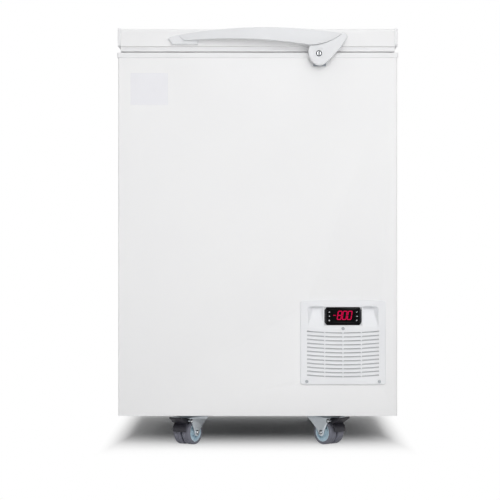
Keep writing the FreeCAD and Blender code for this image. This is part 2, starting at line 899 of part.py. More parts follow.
def vent_panel():
    """Moulded grille with curved slanted louvres and a scooped recess round the controller."""
    body = new_body("vent_panel")
    outline = new_sketch(body, "XZ", "vent_outline", f"-({front})")
    draw_rectangle(outline, (vent_left, vent_right), ("vent_bottom", vent_top), "vent_corner")
    plate = pad(body, outline, "vent_proud")
    face_y = number(vent_face)
    eased(body, plate, lambda at, way, edge: near(at.y, face_y), "vent_edge")
    back = new_sketch(body, "XZ", "vent_back", f"-({front})")
    lap = "(vent_overlap-vent_lap_gap)"
    draw_rectangle(back, (f"{vent_left}+{lap}", f"{vent_right}-{lap}"),
                   (f"vent_bottom+{lap}", f"{vent_top}-{lap}"), "vent_corner")
    pocket(body, back, "vent_proud-vent_wall", backwards=True)

    hull = feature(body, "AdditiveLoft", "recess_hull",
                   recess_section(body, "hull_front", "vent_wall/2", "vent_wall", False))
    hull.Sections = [recess_section(body, "hull_back", "(recess_depth+vent_wall)", "vent_wall", True)]
    hull.Ruled = True
    scoop = feature(body, "SubtractiveLoft", "recess_scoop",
                    recess_section(body, "scoop_front", "0", "0", False))
    scoop.Sections = [recess_section(body, "scoop_back", "recess_depth", "0", True)]
    scoop.Ruled = True
    rail_x = number("recess_width/2-recess_narrow/4")
    rail_y = number(f"{vent_face}+recess_depth/2")
    eased(body, scoop, lambda at, way, edge: near(at.y, rail_y)
          and near(abs(at.x - number("vent_middle")), rail_x), "recess_corner")

    collar = new_sketch(body, "XZ", "controller_collar", f"-({vent_face})")
    reach = "(bezel_width/2+bezel_collar)"
    draw_rectangle(collar, (f"vent_middle-{reach}", f"vent_middle+{reach}"),
                   (f"{bezel_bottom}-bezel_collar", f"{bezel_top}+bezel_collar"), "bezel_collar")
    pad(body, collar, "recess_depth", backwards=True)
    seat = new_sketch(body, "XZ", "controller_seat", f"-({vent_face})")
    wide = "(bezel_width/2+bezel_gap)"
    draw_rectangle(seat, (f"vent_middle-{wide}", f"vent_middle+{wide}"),
                   (f"{bezel_bottom}-bezel_gap", f"{bezel_top}+bezel_gap"))
    pocket(body, seat, "bezel_depth-bezel_proud")
    hole = new_sketch(body, "XZ", "controller_hole", f"-({vent_face})")
    draw_rectangle(hole, ("vent_middle-case_width/2-bezel_gap", "vent_middle+case_width/2+bezel_gap"),
                   (f"{bezel_middle}-case_height/2-bezel_gap", f"{bezel_middle}+case_height/2+bezel_gap"))
    pocket(body, hole, "recess_depth+vent_wall")

    boss = new_sketch(body, "XZ", "screw_boss", f"-({vent_face})")
    for at_x, at_z in screw_places():
        draw_circle(boss, at_x, at_z, "screw_boss")
    pad(body, boss, "vent_proud", backwards=True)
    bore = new_sketch(body, "XZ", "screw_bore", f"-({vent_face})")
    for at_x, at_z in screw_places():
        draw_circle(bore, at_x, at_z, "screw_shank+screw_gap")
    pocket(body, bore, "vent_proud")

    slots = new_sketch(body, "XZ", "louvre_slots", f"-({vent_face})")
    top = f"({vent_top}-louvre_top_margin)"
    segment = "((louvre_span-(louvre_segments-1)*louvre_gap)/louvre_segments)"
    rise = f"(louvre_sag*({segment}/louvre_span)^2)"
    for index in range(int(number("louvre_segments"))):
        left = f"({index}*({segment}+louvre_gap)-louvre_span/2)"
        right = f"({left}+{segment})"
        left_z = f"({top}-louvre_sag*(1-({left}/(louvre_span/2))^2))"
        right_z = f"({top}-louvre_sag*(1-({right}/(louvre_span/2))^2))"
        draw_loop(slots, [
            (f"vent_middle+{left}", f"{left_z}-louvre_slot", rise),
            (f"vent_middle+{right}", f"{right_z}-louvre_slot"),
            (f"vent_middle+{right}", right_z, f"-{rise}"), (f"vent_middle+{left}", left_z),
        ])
    first = pocket(body, slots, "vent_wall")
    first.UseCustomVector = True
    slant = math.radians(number("louvre_slant"))
    first.Direction = Vector(0, math.cos(slant), math.sin(slant))
    first.AlongSketchNormal = True
    rows(body, first, (slots, ["V_Axis"]), "louvre_pitch*(louvre_count-1)", "louvre_count").Reversed = True
    return body


def screw_places():
    return [(f"{vent_left}+screw_side_margin", "vent_bottom+screw_low_margin"),
            (f"{vent_right}-screw_side_margin", "vent_bottom+screw_low_margin"),
            ("vent_middle", f"{vent_top}-screw_top_margin")]


def vent_panel_screws():
    """Three cross-head screws that hold the grille."""
    screws = []
    for index, (at_x, at_z) in enumerate(screw_places()):
        head = rod(f"screw_head_{index}", "screw_head", "y",
                   (at_x, f"{vent_face}-screw_head_height", at_z), "screw_head_height")
        shank = rod(f"screw_shank_{index}", "screw_shank", "y", (at_x, vent_face, at_z), "screw_length")
        solid = joined(f"screw_blank_{index}", [head, shank])
        cross = []
        for name, wide, tall in (("level", "screw_head", "screw_slot"), ("upright", "screw_slot", "screw_head")):
            cross.append(block(f"screw_{name}_{index}", (f"{at_x}-{wide}/2", f"{at_x}+{wide}/2"),
                               (f"{vent_face}-screw_head_height", f"{vent_face}-screw_head_height+screw_slot_depth"),
                               (f"{at_z}-{tall}/2", f"{at_z}+{tall}/2")))
        screws.append(trimmed(f"screw_{index}", solid, cross))
    return grouped("vent_panel_screws", screws)


def air_filter():
    """Filter mat that lies against the back of the louvres, inside the opening of the sheet."""
    margin = "(vent_overlap+filter_margin)"
    return block("air_filter", (f"{vent_left}+{margin}", f"{vent_right}-{margin}"),
                 (f"{vent_face}+vent_wall", f"{vent_face}+vent_wall+filter_wall"),
                 ("vent_bottom+filter_low_margin", f"{vent_top}-filter_top_margin"))


key_places = {
    f"key_{side}_{level}": (f"(vent_middle{sign}key_column)", f"({bezel_middle}{step})")
    for side, sign in (("left", "-"), ("right", "+"))
    for level, step in (("upper", "+key_pitch"), ("middle", ""), ("lower", "-key_pitch"))
}
bezel_face = f"({vent_face}-bezel_proud)"


def controller_housing():
    """Controller with a bevelled bezel, a window seat, key holes and its case behind."""
    body = new_body("controller_housing")
    outline = new_sketch(body, "XZ", "bezel_outline", f"-({bezel_face})")
    left, right = "(vent_middle-bezel_width/2)", "(vent_middle+bezel_width/2)"
    draw_loop(outline, [
        (f"{left}+bezel_cut_side", bezel_bottom), (f"{right}-bezel_cut_side", bezel_bottom),
        (right, f"{bezel_bottom}+bezel_cut_rise"), (right, f"{bezel_top}-bezel_cut_rise"),
        (f"{right}-bezel_cut_side", bezel_top), (f"{left}+bezel_cut_side", bezel_top),
        (left, f"{bezel_top}-bezel_cut_rise"), (left, f"{bezel_bottom}+bezel_cut_rise"),
    ])
    plate = pad(body, outline, "bezel_depth", backwards=True)
    face_y, edge_x = number(bezel_face), number("bezel_width/2")
    eased(body, plate, lambda at, way, edge: near(at.y, face_y) and abs(way.z) > edge_x / 2
          and near(abs(at.x - number("vent_middle")), edge_x), "bezel_slope", "Chamfer")
    case = new_sketch(body, "XZ", "case_outline", f"-({bezel_face}+bezel_depth)")
    draw_rectangle(case, ("vent_middle-case_width/2", "vent_middle+case_width/2"),
                   (f"{bezel_middle}-case_height/2", f"{bezel_middle}+case_height/2"))
    pad(body, case, "case_depth", backwards=True)
    window = new_sketch(body, "XZ", "window_seat", f"-({bezel_face})")
    draw_rectangle(window, ("vent_middle-window_width/2", "vent_middle+window_width/2"),
                   (f"{bezel_middle}-window_height/2", f"{bezel_middle}+window_height/2"))
    pocket(body, window, "window_depth")
    holes = new_sketch(body, "XZ", "key_holes", f"-({bezel_face})")
    for at_x, at_z in key_places.values():
        draw_rectangle(holes, (f"{at_x}-key_width/2-key_gap", f"{at_x}+key_width/2+key_gap"),
                       (f"{at_z}-key_height/2-key_gap", f"{at_z}+key_height/2+key_gap"))
    pocket(body, holes, "key_stem+key_travel+key_gap")
    return body


def display_window():
    """Clear plate over the digits."""
    return block("display_window", ("vent_middle-window_width/2", "vent_middle+window_width/2"),
                 (bezel_face, f"{bezel_face}+window_depth"),
                 (f"{bezel_middle}-window_height/2", f"{bezel_middle}+window_height/2"))


def key_cap(name):
    """One push key: a cap with eased edges on a stem."""
    at_x, at_z = key_places[name]
    body = new_body(name)
    face = f"({bezel_face}-key_proud)"
    outline = new_sketch(body, "XZ", f"{name}_outline", f"-({face})")
    draw_rectangle(outline, (f"{at_x}-key_width/2", f"{at_x}+key_width/2"),
                   (f"{at_z}-key_height/2", f"{at_z}+key_height/2"), "key_round")
    pad(body, outline, "key_proud+key_stem", backwards=True)
    return body


pump_y = f"({rear}-pump_back)"


def foot_places():
    for side in ("-", "+"):
        for end in ("-", "+"):
            yield (f"(pump_x{side}pump_foot_span/2)", f"({pump_y}{end}pump_foot_depth/2)")


def compressor():
    """Welded steel can with a seam flange, standing on a foot plate with four holes."""
    body = new_body("compressor", ("pump_x", pump_y, "0"))
    base = f"({pan_top}+grommet_height)"
    can = new_sketch(body, "XZ", "can_profile")
    seam = f"({base}+pump_height/2)"
    top = f"({base}+pump_height)"
    draw_loop(can, [
        ("0", base), ("pump_base_flat", base, "pump_base_bulge"), ("pump_radius", f"{base}+pump_base_rise"),
        ("pump_radius", seam), ("pump_radius+pump_seam", seam),
        ("pump_radius+pump_seam", f"{seam}+pump_seam_height"), ("pump_radius", f"{seam}+pump_seam_height"),
        ("pump_radius", f"{top}-pump_dome", "pump_dome_bulge"), ("pump_top_flat", top), ("0", top),
    ])
    turned(body, can)
    foot = new_sketch(body, "XY", "foot_plan", base)
    draw_rectangle(foot, ("-(pump_foot_span/2+grommet_radius)", "pump_foot_span/2+grommet_radius"),
                   ("-(pump_foot_depth/2+grommet_radius)", "pump_foot_depth/2+grommet_radius"), "grommet_radius")
    for side in ("-", ""):
        for end in ("-", ""):
            draw_circle(foot, f"{side}pump_foot_span/2", f"{end}pump_foot_depth/2", "pump_foot_hole")
    pad(body, foot, "pump_foot_wall")
    return body


def compressor_mounts():
    """Four rubber grommets, waisted where the foot plate rests."""
    mounts = []
    for index, (at_x, at_y) in enumerate(foot_places()):
        wide = rod(f"grommet_low_{index}", "grommet_radius", "z", (at_x, at_y, pan_top), "grommet_height")
        neck = rod(f"grommet_neck_{index}", "grommet_neck", "z",
                   (at_x, at_y, pan_top), "grommet_height+pump_foot_wall+grommet_tip")
        mounts.append(joined(f"grommet_{index}", [wide, neck]))
    return grouped("compressor_mounts", mounts)


def relay_cover():
    """Moulded cover of the start relay, on the side of the can."""
    start = f"({pump_y}-pump_radius-relay_depth)"
    base = f"({pan_top}+grommet_height+pump_foot_wall+pump_seam)"
    cover = block("relay_block", ("pump_x-relay_width/2", "pump_x+relay_width/2"),
                  (start, pump_y), (base, f"{base}+relay_height"))
    can = rod("relay_relief", "pump_radius+relay_gap", "z", ("pump_x", pump_y, f"{base}-cut_past"),
              "relay_height+2*cut_past")
    return trimmed("relay_cover", cover, [can])


cond_y = f"({front}+cond_front)"
cond_z = pan_top
cond_middle_x = "(cond_left+cond_width/2)"
fan_z = f"({cond_z}+cond_height/2+fan_rise)"
shroud_y = f"({cond_y}+cond_depth+shroud_gap)"
tube_low_z = f"({cond_z}+cond_height/2-cond_tube_pitch*(cond_tube_rows-1)/2)"
tube_high_z = f"({cond_z}+cond_height/2+cond_tube_pitch*(cond_tube_rows-1)/2)"
tube_back_y = f"({cond_y}+cond_depth/2+cond_column)"


def condenser():
    """Finned block: a row of sheets, two end plates that stand on the pan, and the tube passes."""
    body = new_body("condenser")
    fins = new_sketch(body, "YZ", "fin_outline", "cond_left+cond_plate")
    draw_rectangle(fins, (cond_y, f"{cond_y}+cond_depth"), (f"{cond_z}+cond_low", f"{cond_z}+cond_height"))
    fin = pad(body, fins, "fin_wall")
    tubes = new_sketch(body, "YZ", "tube_outline", "cond_left")
    for side in ("-", "+"):
        for index in range(int(number("cond_tube_rows"))):
            draw_circle(tubes, f"{cond_y}+cond_depth/2{side}cond_column",
                        f"{tube_low_z}+{index}*cond_tube_pitch", "cond_tube")
    pad(body, tubes, "cond_width")
    plates = new_sketch(body, "YZ", "end_plate", "cond_left")
    draw_rectangle(plates, (cond_y, f"{cond_y}+cond_depth"), (cond_z, f"{cond_z}+cond_height"))
    plate = pad(body, plates, "cond_plate")
    rows(body, plate, (plane_of(body, "X_Axis"), [""]), "cond_width-cond_plate", "2")
    rows(body, fin, (plane_of(body, "X_Axis"), [""]), "fin_pitch*(fin_count-1)", "fin_count")
    return body


def fan_shroud():
    """Plate with a round duct, and three struts that carry the motor."""
    body = new_body("fan_shroud")
    plate = new_sketch(body, "XZ", "shroud_plate", f"-({shroud_y})")
    draw_rectangle(plate, ("cond_left", "cond_left+cond_width"), (cond_z, f"{cond_z}+cond_height+shroud_head"))
    draw_circle(plate, cond_middle_x, fan_z, "fan_radius+fan_tip_gap")
    pad(body, plate, "shroud_wall", backwards=True)
    duct = new_sketch(body, "XZ", "shroud_duct", f"-({shroud_y})")
    draw_circle(duct, cond_middle_x, fan_z, "fan_radius+fan_tip_gap")
    draw_circle(duct, cond_middle_x, fan_z, "fan_radius+fan_tip_gap+shroud_wall")
    pad(body, duct, "shroud_depth", backwards=True)
    struts = new_sketch(body, "XZ", "shroud_struts", f"-({shroud_y}+shroud_depth-strut_wall)")
    reach = "(fan_radius+fan_tip_gap+shroud_wall/2)"
    draw_rectangle(struts, (f"{cond_middle_x}-{reach}", f"{cond_middle_x}+{reach}"),
                   (f"{fan_z}-strut_width/2", f"{fan_z}+strut_width/2"))
    draw_circle(struts, cond_middle_x, fan_z, "fan_shaft+fan_tip_gap/2")
    pad(body, struts, "strut_wall", backwards=True)
    return body


blade_y = f"({shroud_y}+shroud_depth-motor_gap-hub_depth)"


def fan_blade():
    """Hub with pitched, cambered blades on the motor shaft."""
    body = new_body("fan_blade", (cond_middle_x, blade_y, fan_z))
    hub = new_sketch(body, "XZ", "hub_outline")
    draw_circle(hub, "0", "0", "hub_radius")
    draw_circle(hub, "0", "0", "fan_shaft")
    pad(body, hub, "hub_depth", backwards=True)
    wing = new_sketch(body, "YZ", "wing_section", "hub_radius-blade_root")
    lean, rise = "sin(blade_pitch)", "cos(blade_pitch)"
    run_y, run_z = f"(hub_depth/2+{{0}}blade_chord/2*{lean})", f"({{0}}blade_chord/2*{rise})"
    thick_y, thick_z = f"blade_wall*{rise}", f"blade_wall*{lean}"
    draw_loop(wing, [
        (run_y.format("-"), run_z.format("-"), "blade_camber"),
        (run_y.format("+"), run_z.format("+")),
        (f"{run_y.format('+')}-{thick_y}", f"{run_z.format('+')}+{thick_z}", "-blade_camber"),
        (f"{run_y.format('-')}-{thick_y}", f"{run_z.format('-')}+{thick_z}"),
    ])
    blade = pad(body, wing, "fan_radius-hub_radius+blade_root")
    ring_of(body, blade, (plane_of(body, "Y_Axis"), [""]), "blade_count")
    return body


def fan_motor():
    """Motor can behind the struts, with its shaft through the hub."""
    start = f"({shroud_y}+shroud_depth)"
    can = rod("motor_can", "motor_radius", "y", (cond_middle_x, start, fan_z), "motor_depth")
    shaft_start = f"({blade_y}-fan_shaft_stub)"
    shaft = rod("motor_shaft", "fan_shaft-hinge_fit", "y",
                (cond_middle_x, shaft_start, fan_z), f"{start}-{shaft_start}")
    return joined("fan_motor", [can, shaft])


drier_x = "(cab_width/2-drier_side)"
drier_z = f"({pan_top}+drier_rise)"
drier_y = f"({shroud_y}+shroud_depth+drier_behind)"


def filter_drier():
    """Copper capsule, necked down at both ends, lying beside the fan."""
    body = new_body("filter_drier", (drier_x, drier_y, drier_z))
    outline = new_sketch(body, "YZ", "drier_profile")
    draw_loop(outline, [
        ("0", "0"), ("drier_length", "0"), ("drier_length", "line_radius"),
        ("drier_length-drier_radius", "drier_radius", "drier_bulge"), ("drier_radius", "drier_radius"),
        ("0", "line_radius"),
    ])
    turned(body, outline, line="H_Axis")
    return body


def refrigerant_pipes():
    """Discharge, liquid and suction lines of the machine bay."""
    radius, bend = number("line_radius"), number("line_bend")
    pump_top = f"({pan_top}+grommet_height+pump_height)"
    tube_end = "(cond_left+cond_width)"
    aisle = f"({inside}-line_side)"
    over = f"({bay_top}-line_headroom)"
    discharge = pipe_run([
        ("pump_x", pump_y, pump_top), ("pump_x", pump_y, over), (aisle, pump_y, over),
        (aisle, tube_back_y, over), (aisle, tube_back_y, tube_high_z), (tube_end, tube_back_y, tube_high_z),
    ], radius, bend)
    liquid = pipe_run([
        (tube_end, tube_back_y, tube_low_z), (drier_x, tube_back_y, tube_low_z), (drier_x, tube_back_y, drier_z),
        (drier_x, drier_y, drier_z),
    ], radius, number("short_bend"))
    item = doc.addObject("Part::Feature", "refrigerant_pipes")
    item.Shape = Part.makeCompound([discharge, liquid])
    return item


def power_inlet():
    """Three-pin appliance inlet on the rear panel."""
    face = f"({rear}+inlet_plate_wall)"
    wide, tall = "inlet_plate_width/2", "inlet_plate_height/2"
    plate = block("inlet_plate", (f"inlet_x-{wide}", f"inlet_x+{wide}"), (rear, face),
                  (f"inlet_z-{tall}", f"inlet_z+{tall}"))
    shell = block("inlet_body", ("inlet_x-inlet_body_width/2", "inlet_x+inlet_body_width/2"),
                  (f"{face}-inlet_body_depth", face),
                  ("inlet_z-inlet_body_height/2", "inlet_z+inlet_body_height/2"))
    hole = block("inlet_hole", ("inlet_x-inlet_hole_width/2", "inlet_x+inlet_hole_width/2"),
                 (f"{face}-inlet_hole_depth", f"{face}+cut_past"),
                 ("inlet_z-inlet_hole_height/2", "inlet_z+inlet_hole_height/2"))
    socket = trimmed("inlet_socket", joined("inlet_solid", [plate, shell]), [hole])
    pins = []
    for index, (step, drop) in enumerate((("-", "-"), ("+", "-"), ("", "+"))):
        spread = f"{step}inlet_pin_spread" if step else ""
        middle = f"(inlet_x{spread})"
        level = f"(inlet_z{drop}inlet_hole_cut/2)"
        pins.append(block(f"inlet_pin_{index}", (f"{middle}-inlet_pin_width/2", f"{middle}+inlet_pin_width/2"),
                          (f"{face}-inlet_hole_depth-cut_past", f"{face}-inlet_hole_depth+inlet_pin_length"),
                          (f"{level}-inlet_pin_height/2", f"{level}+inlet_pin_height/2")))
    return joined("power_inlet", [socket] + pins)


def lid_skin():
    """Folded steel top of the lid, open below."""
    body = new_body("lid_skin")
    plan = new_sketch(body, "XY", "skin_plan", "lid_bottom")
    draw_rectangle(plan, (f"-{skin_side}", skin_side), (lid_front, lid_rear))
    bulk = pad(body, plan, "lid_top-lid_bottom")
    top = number("lid_top")
    eased(body, bulk, lambda at, way, edge: near(at.z, top) and abs(way.x) > abs(way.y), "lid_round")
    hollow = new_sketch(body, "XY", "skin_hollow", "lid_bottom")
    draw_rectangle(hollow, (f"-{skin_side}", skin_side),
                   (f"{lid_front}+lid_sheet", f"{lid_rear}-lid_sheet"))
    pocket(body, hollow, "lid_top-lid_bottom-lid_round", backwards=True)
    attic = new_sketch(body, "XY", "skin_attic", "lid_top-lid_round")
    draw_rectangle(attic, (f"-{skin_side}", skin_side),
                   (f"{lid_front}+lid_round", f"{lid_rear}-lid_round"))
    pocket(body, attic, "lid_round-lid_sheet", backwards=True)
    return body


def lid_side_trims():
    """Moulded end caps of the lid, a little higher than the skin."""
    trims = []
    for side, start in (("left", "-lid_width/2"), ("right", skin_side)):
        body = new_body(f"trim_{side}")
        outline = new_sketch(body, "YZ", f"trim_{side}_outline", start)
        draw_rectangle(outline, (lid_front, lid_rear), ("lid_bottom", "lid_top+trim_rise"), "trim_round")
        pad(body, outline, "trim_width")
        trims.append(body)
    return grouped("lid_side_trims", trims)


band_side = "(lid_width/2-band_inset)"
band_front = f"({lid_front}+band_inset)"
band_rear = f"({lid_rear}-band_inset)"
plug_side = f"({well_side}-plug_clear)"
plug_front = f"({well_front}+plug_clear)"
plug_rear = f"({well_rear}-plug_clear)"


def pan_blocks(name, wall, top):
    """The rim and the plug of the lid pan, drawn in by a wall."""
    rim = block(f"{name}_rim", (f"-({band_side}-{wall})", f"{band_side}-{wall}"),
                (f"{band_front}+{wall}", f"{band_rear}-{wall}"), (f"band_bottom+{wall}", top))
    plug = block(f"{name}_plug", (f"-({plug_side}-{wall})", f"{plug_side}-{wall}"),
                 (f"{plug_front}+{wall}", f"{plug_rear}-{wall}"), (f"band_bottom-plug_drop+{wall}", top))
    return [rim, plug]


pan_flange_top = "(lid_bottom+lid_liner_wall)"


def lid_liner():
    """Moulded inner pan of the lid: a flange inside the skin, a recessed band, a flat rim and a plug."""
    flange = block("pan_flange", (f"-{skin_side}", skin_side), (f"{lid_front}+lid_sheet", f"{lid_rear}-lid_sheet"),
                   ("lid_bottom", pan_flange_top))
    outside = joined("lid_pan_outside", [flange] + pan_blocks("pan_out", "0", "lid_bottom"))
    groove = seal_ring("dart_groove", "gasket_dart/2", "band_bottom-cut_past", "band_bottom+gasket_dart_rise")
    return trimmed("lid_liner", outside,
                   pan_blocks("pan_in", "lid_liner_wall", f"{pan_flange_top}+cut_past") + [groove])


def seal_ring(name, reach, bottom, top):
    """A rectangular ring on the seal line, as wide as twice the reach."""
    line = "(gasket_inset+gasket_width/2)"
    outer, inner = f"({line}-{reach})", f"({line}+{reach})"
    ring = block(f"{name}_outer", (f"-({band_side}-{outer})", f"{band_side}-{outer}"),
                 (f"{band_front}+{outer}", f"{band_rear}-{outer}"), (bottom, top))
    middle = block(f"{name}_inner", (f"-({band_side}-{inner})", f"{band_side}-{inner}"),
                   (f"{band_front}+{inner}", f"{band_rear}-{inner}"),
                   (f"{bottom}-cut_past", f"{top}+cut_past"))
    return trimmed(f"{name}_ring", ring, [middle])


def lid_gasket():
    """Rubber seal under the rim, held by a dart in the groove of the pan."""
    seal = seal_ring("seal", "gasket_width/2", f"{collar_top}+gasket_gap", "band_bottom")
    dart = seal_ring("dart", "(gasket_dart/2-gasket_gap)", "band_bottom", "band_bottom+gasket_dart_rise-gasket_gap")
    return joined("lid_gasket", [seal, dart])


def lid_foam():
    """Foam that fills the pan and the skin."""
    top = block("lid_foam_top", (f"-{skin_side}", skin_side), (f"{lid_front}+lid_sheet", f"{lid_rear}-lid_sheet"),
                (pan_flange_top, "lid_top-lid_round"))
    return joined("lid_foam", pan_blocks("lid_foam", "lid_liner_wall", pan_flange_top) + [top])


hinge_y = f"({rear}+hinge_axis_reach)"


def hinge_leaf(name, side, knuckles, neck, leaf, bore):
    """A flat leaf whose necks carry knuckles round the pin."""
    parts = [block(f"{name}_leaf", (f"{side}-hinge_width/2", f"{side}+hinge_width/2"), *leaf)]
    for index, (low, high) in enumerate(knuckles):
        parts.append(rod(f"{name}_knuckle_{index}", "knuckle_radius", "x",
                         (f"{side}+({low})", hinge_y, "hinge_axis_z"), f"({high})-({low})"))
        parts.append(block(f"{name}_neck_{index}", (f"{side}+({low})", f"{side}+({high})"), *neck))
    return trimmed(name, joined(f"{name}_solid", parts), [bore])


def hinge_parts():
    """Two hinges: bases on the cabinet, arms on the lid, and headed pins."""
    bases, arms, pins = [], [], []
    for tag, side in (("left", "-hinge_spread"), ("right", "hinge_spread")):
        knuckle_start, outer = "(arm_knuckle/2+knuckle_gap)", "hinge_width/2"
        bore = rod(f"hinge_bore_{tag}", "hinge_pin_radius+hinge_fit", "x",
                   (f"{side}-{outer}-cut_past", hinge_y, "hinge_axis_z"), f"2*({outer}+cut_past)")
        bases.append(hinge_leaf(
            f"hinge_base_{tag}", side, [(f"-{outer}", f"-{knuckle_start}"), (knuckle_start, outer)],
            ((f"{rear}+neck_base_reach", hinge_y), ("cab_top-neck_lap", "hinge_axis_z")),
            ((rear, f"{rear}+base_leaf_wall"),
             ("cab_top-base_leaf_gap-base_leaf_height", "cab_top-base_leaf_gap")), bore))
        arms.append(hinge_leaf(
            f"hinge_arm_{tag}", side, [("-arm_knuckle/2", "arm_knuckle/2")],
            ((f"{rear}+neck_arm_reach", hinge_y), ("hinge_axis_z", "lid_bottom+neck_lap")),
            ((rear, f"{rear}+arm_leaf_wall"),
             ("lid_bottom+arm_leaf_gap", "lid_bottom+arm_leaf_gap+arm_leaf_height")), bore))
        shaft = rod(f"pin_{tag}_shaft", "hinge_pin_radius", "x",
                    (f"{side}-{outer}", hinge_y, "hinge_axis_z"), f"2*{outer}+pin_head_depth")
        head = rod(f"pin_{tag}_head", "pin_head", "x",
                   (f"{side}+{outer}", hinge_y, "hinge_axis_z"), "pin_head_depth")
        pins.append(joined(f"pin_{tag}", [shaft, head]))
    return [grouped("hinge_bases", bases), grouped("hinge_arms", arms), grouped("hinge_pins", pins)]


def handle_grip():
    """Bowed lever: its front outline is padded out from the lid, then carved from above."""
    body = new_body("handle_grip", ("0", "0", "lid_bottom"))
    outline = new_sketch(body, "XZ", "grip_outline", f"-({lid_front})")
    draw_loop(outline, [
        ("grip_left", "grip_left_up"), ("grip_heel", "grip_heel_up", "grip_under_rise"),
        ("seam_left", "seam_up", "seam_sag"), ("grip_right", "grip_nose_up", "grip_top_rise"),
    ])
    pad(body, outline, "handle_reach-lid_proud")
    outer = new_sketch(body, "XY", "grip_face", "lid_height")
    far = f"({front}-handle_reach-grip_carve)"
    left, right = "(grip_left-grip_carve)", "(grip_right+grip_carve)"
    draw_loop(outer, [
        (left, far), (right, far), (right, f"{front}-grip_right_reach"),
        ("grip_right", f"{front}-grip_right_reach", "-grip_bow"), ("grip_left", f"{front}-grip_left_reach"),
        (left, f"{front}-grip_left_reach"),
    ])
    pocket(body, outer, "2*lid_height")
    gap = new_sketch(body, "XY", "finger_gap", "lid_height")
    foot_face = f"({front}-foot_depth-lid_proud)"
    draw_loop(gap, [
        ("finger_left", f"{front}-finger_left_reach", "finger_bow"), ("finger_right", f"{front}-finger_right_reach"),
        ("finger_right", front), (left, front), (left, foot_face), ("finger_left", foot_face),
    ])
    pocket(body, gap, "2*lid_height")
    return body


def handle_foot():
    """Wedge-nosed bracket that carries the left end of the grip."""
    body = new_body("handle_foot", ("0", "0", "lid_bottom"))
    outline = new_sketch(body, "XZ", "foot_outline", f"-({lid_front})")
    draw_loop(outline, [
        ("foot_left+foot_slant", "foot_bottom"), ("foot_right", "foot_bottom"), ("foot_right", "foot_top"),
        ("foot_left+foot_shoulder", "foot_top", "foot_bulge"), ("foot_left", "foot_bottom+foot_nose"),
    ])
    bulk = pad(body, outline, "foot_depth")
    face_y = number(f"{lid_front}-foot_depth")
    eased(body, bulk, lambda at, way, edge: near(at.y, face_y), "foot_round")
    return body


def lock_housing():
    """Comma-shaped cover that hangs over the strike and carries the lock."""
    body = new_body("lock_housing", ("0", "0", "lid_bottom"))
    outline = new_sketch(body, "XZ", "housing_outline", f"-({front}-housing_back)")
    draw_loop(outline, [
        ("lock_x-chin_back", "-chin_back_drop", "chin_rise"),
        ("lock_x+chin_reach", "-chin_reach_drop", "housing_side_rise"),
        ("lock_x+housing_tip", "housing_tip_up", "housing_tip_rise"),
        ("grip_right+housing_gap", "grip_nose_up", "-seam_sag"),
        ("seam_left", "seam_up-housing_gap", "cheek_rise"),
    ])
    bulk = pad(body, outline, "housing_front-housing_back")
    face_y = number(f"{front}-housing_front")
    eased(body, bulk, lambda at, way, edge: near(at.y, face_y), "housing_round")
    room = new_sketch(body, "XZ", "cam_room_circle", f"-({front}-housing_back)")
    draw_circle(room, "lock_x", "-lock_drop", "cam_room")
    pocket(body, room, "housing_front-housing_back-housing_wall", backwards=True)
    bore = new_sketch(body, "XZ", "lock_bore", f"-({front}-housing_front)")
    draw_circle(bore, "lock_x", "-lock_drop", "lock_radius+lock_fit")
    pocket(body, bore, "housing_wall+cut_past")
    ring = new_sketch(body, "XZ", "lock_ring_step", f"-({front}-housing_front)")
    draw_circle(ring, "lock_x", "-lock_drop", "lock_ring")
    pocket(body, ring, "lock_ring_depth")
    return body


def lock_cylinder():
    """Turning plug of the lock with its key slot."""
    body = new_body("lock_cylinder", ("lock_x", front, "lock_z"))
    plug = new_sketch(body, "XZ", "plug_outline", "cam_front")
    draw_circle(plug, "0", "0", "lock_radius")
    pad(body, plug, "housing_front-lock_ring_depth+lock_proud-cam_front")
    slot = new_sketch(body, "XZ", "key_slot", "housing_front-lock_ring_depth+lock_proud")
    draw_rectangle(slot, ("-key_slot_width/2", "key_slot_width/2"), ("-key_slot_height/2", "key_slot_height/2"))
    pocket(body, slot, "key_slot_depth")
    return body


def lock_cam():
    """Flat arm on the back of the plug; it points down when the lock is open."""
    body = new_body("lock_cam", ("lock_x", front, "lock_z"))
    outline = new_sketch(body, "XZ", "cam_outline", "cam_front-cam_wall")
    draw_loop(outline, [
        ("-cam_width/2", "-cam_length"), ("cam_width/2", "-cam_length"),
        ("cam_width/2", "0", "cam_width/2"), ("-cam_width/2", "0"),
    ])
    pad(body, outline, "cam_wall")
    return body


def lock_keeper():
    """Strike on the cabinet: a foot, a raised web and a ledge that the cam hooks under."""
    right = "(keeper_left+keeper_width)"
    web_back = f"({front}-collar_proud-keeper_clear)"
    web_front = f"({web_back}-keeper_wall)"
    shelf_top = "(cab_top-keeper_top_gap)"
    ledge_top = "keeper_ledge_z+keeper_wall"
    foot = block("keeper_foot", ("keeper_left", right), (f"{front}-keeper_wall", front),
                 ("cab_top-keeper_height", shelf_top))
    shelf = block("keeper_shelf", ("keeper_left", right), (web_front, front), (f"{shelf_top}-keeper_wall", shelf_top))
    web = block("keeper_web", ("keeper_left", right), (web_front, web_back), (f"{shelf_top}-keeper_wall", ledge_top))
    ledge = block("keeper_ledge", ("keeper_left", "keeper_left+keeper_ledge_width"),
                  (f"{front}-keeper_ledge_reach", web_back), ("keeper_ledge_z", ledge_top))
    return joined("lock_keeper", [foot, shelf, web, ledge])


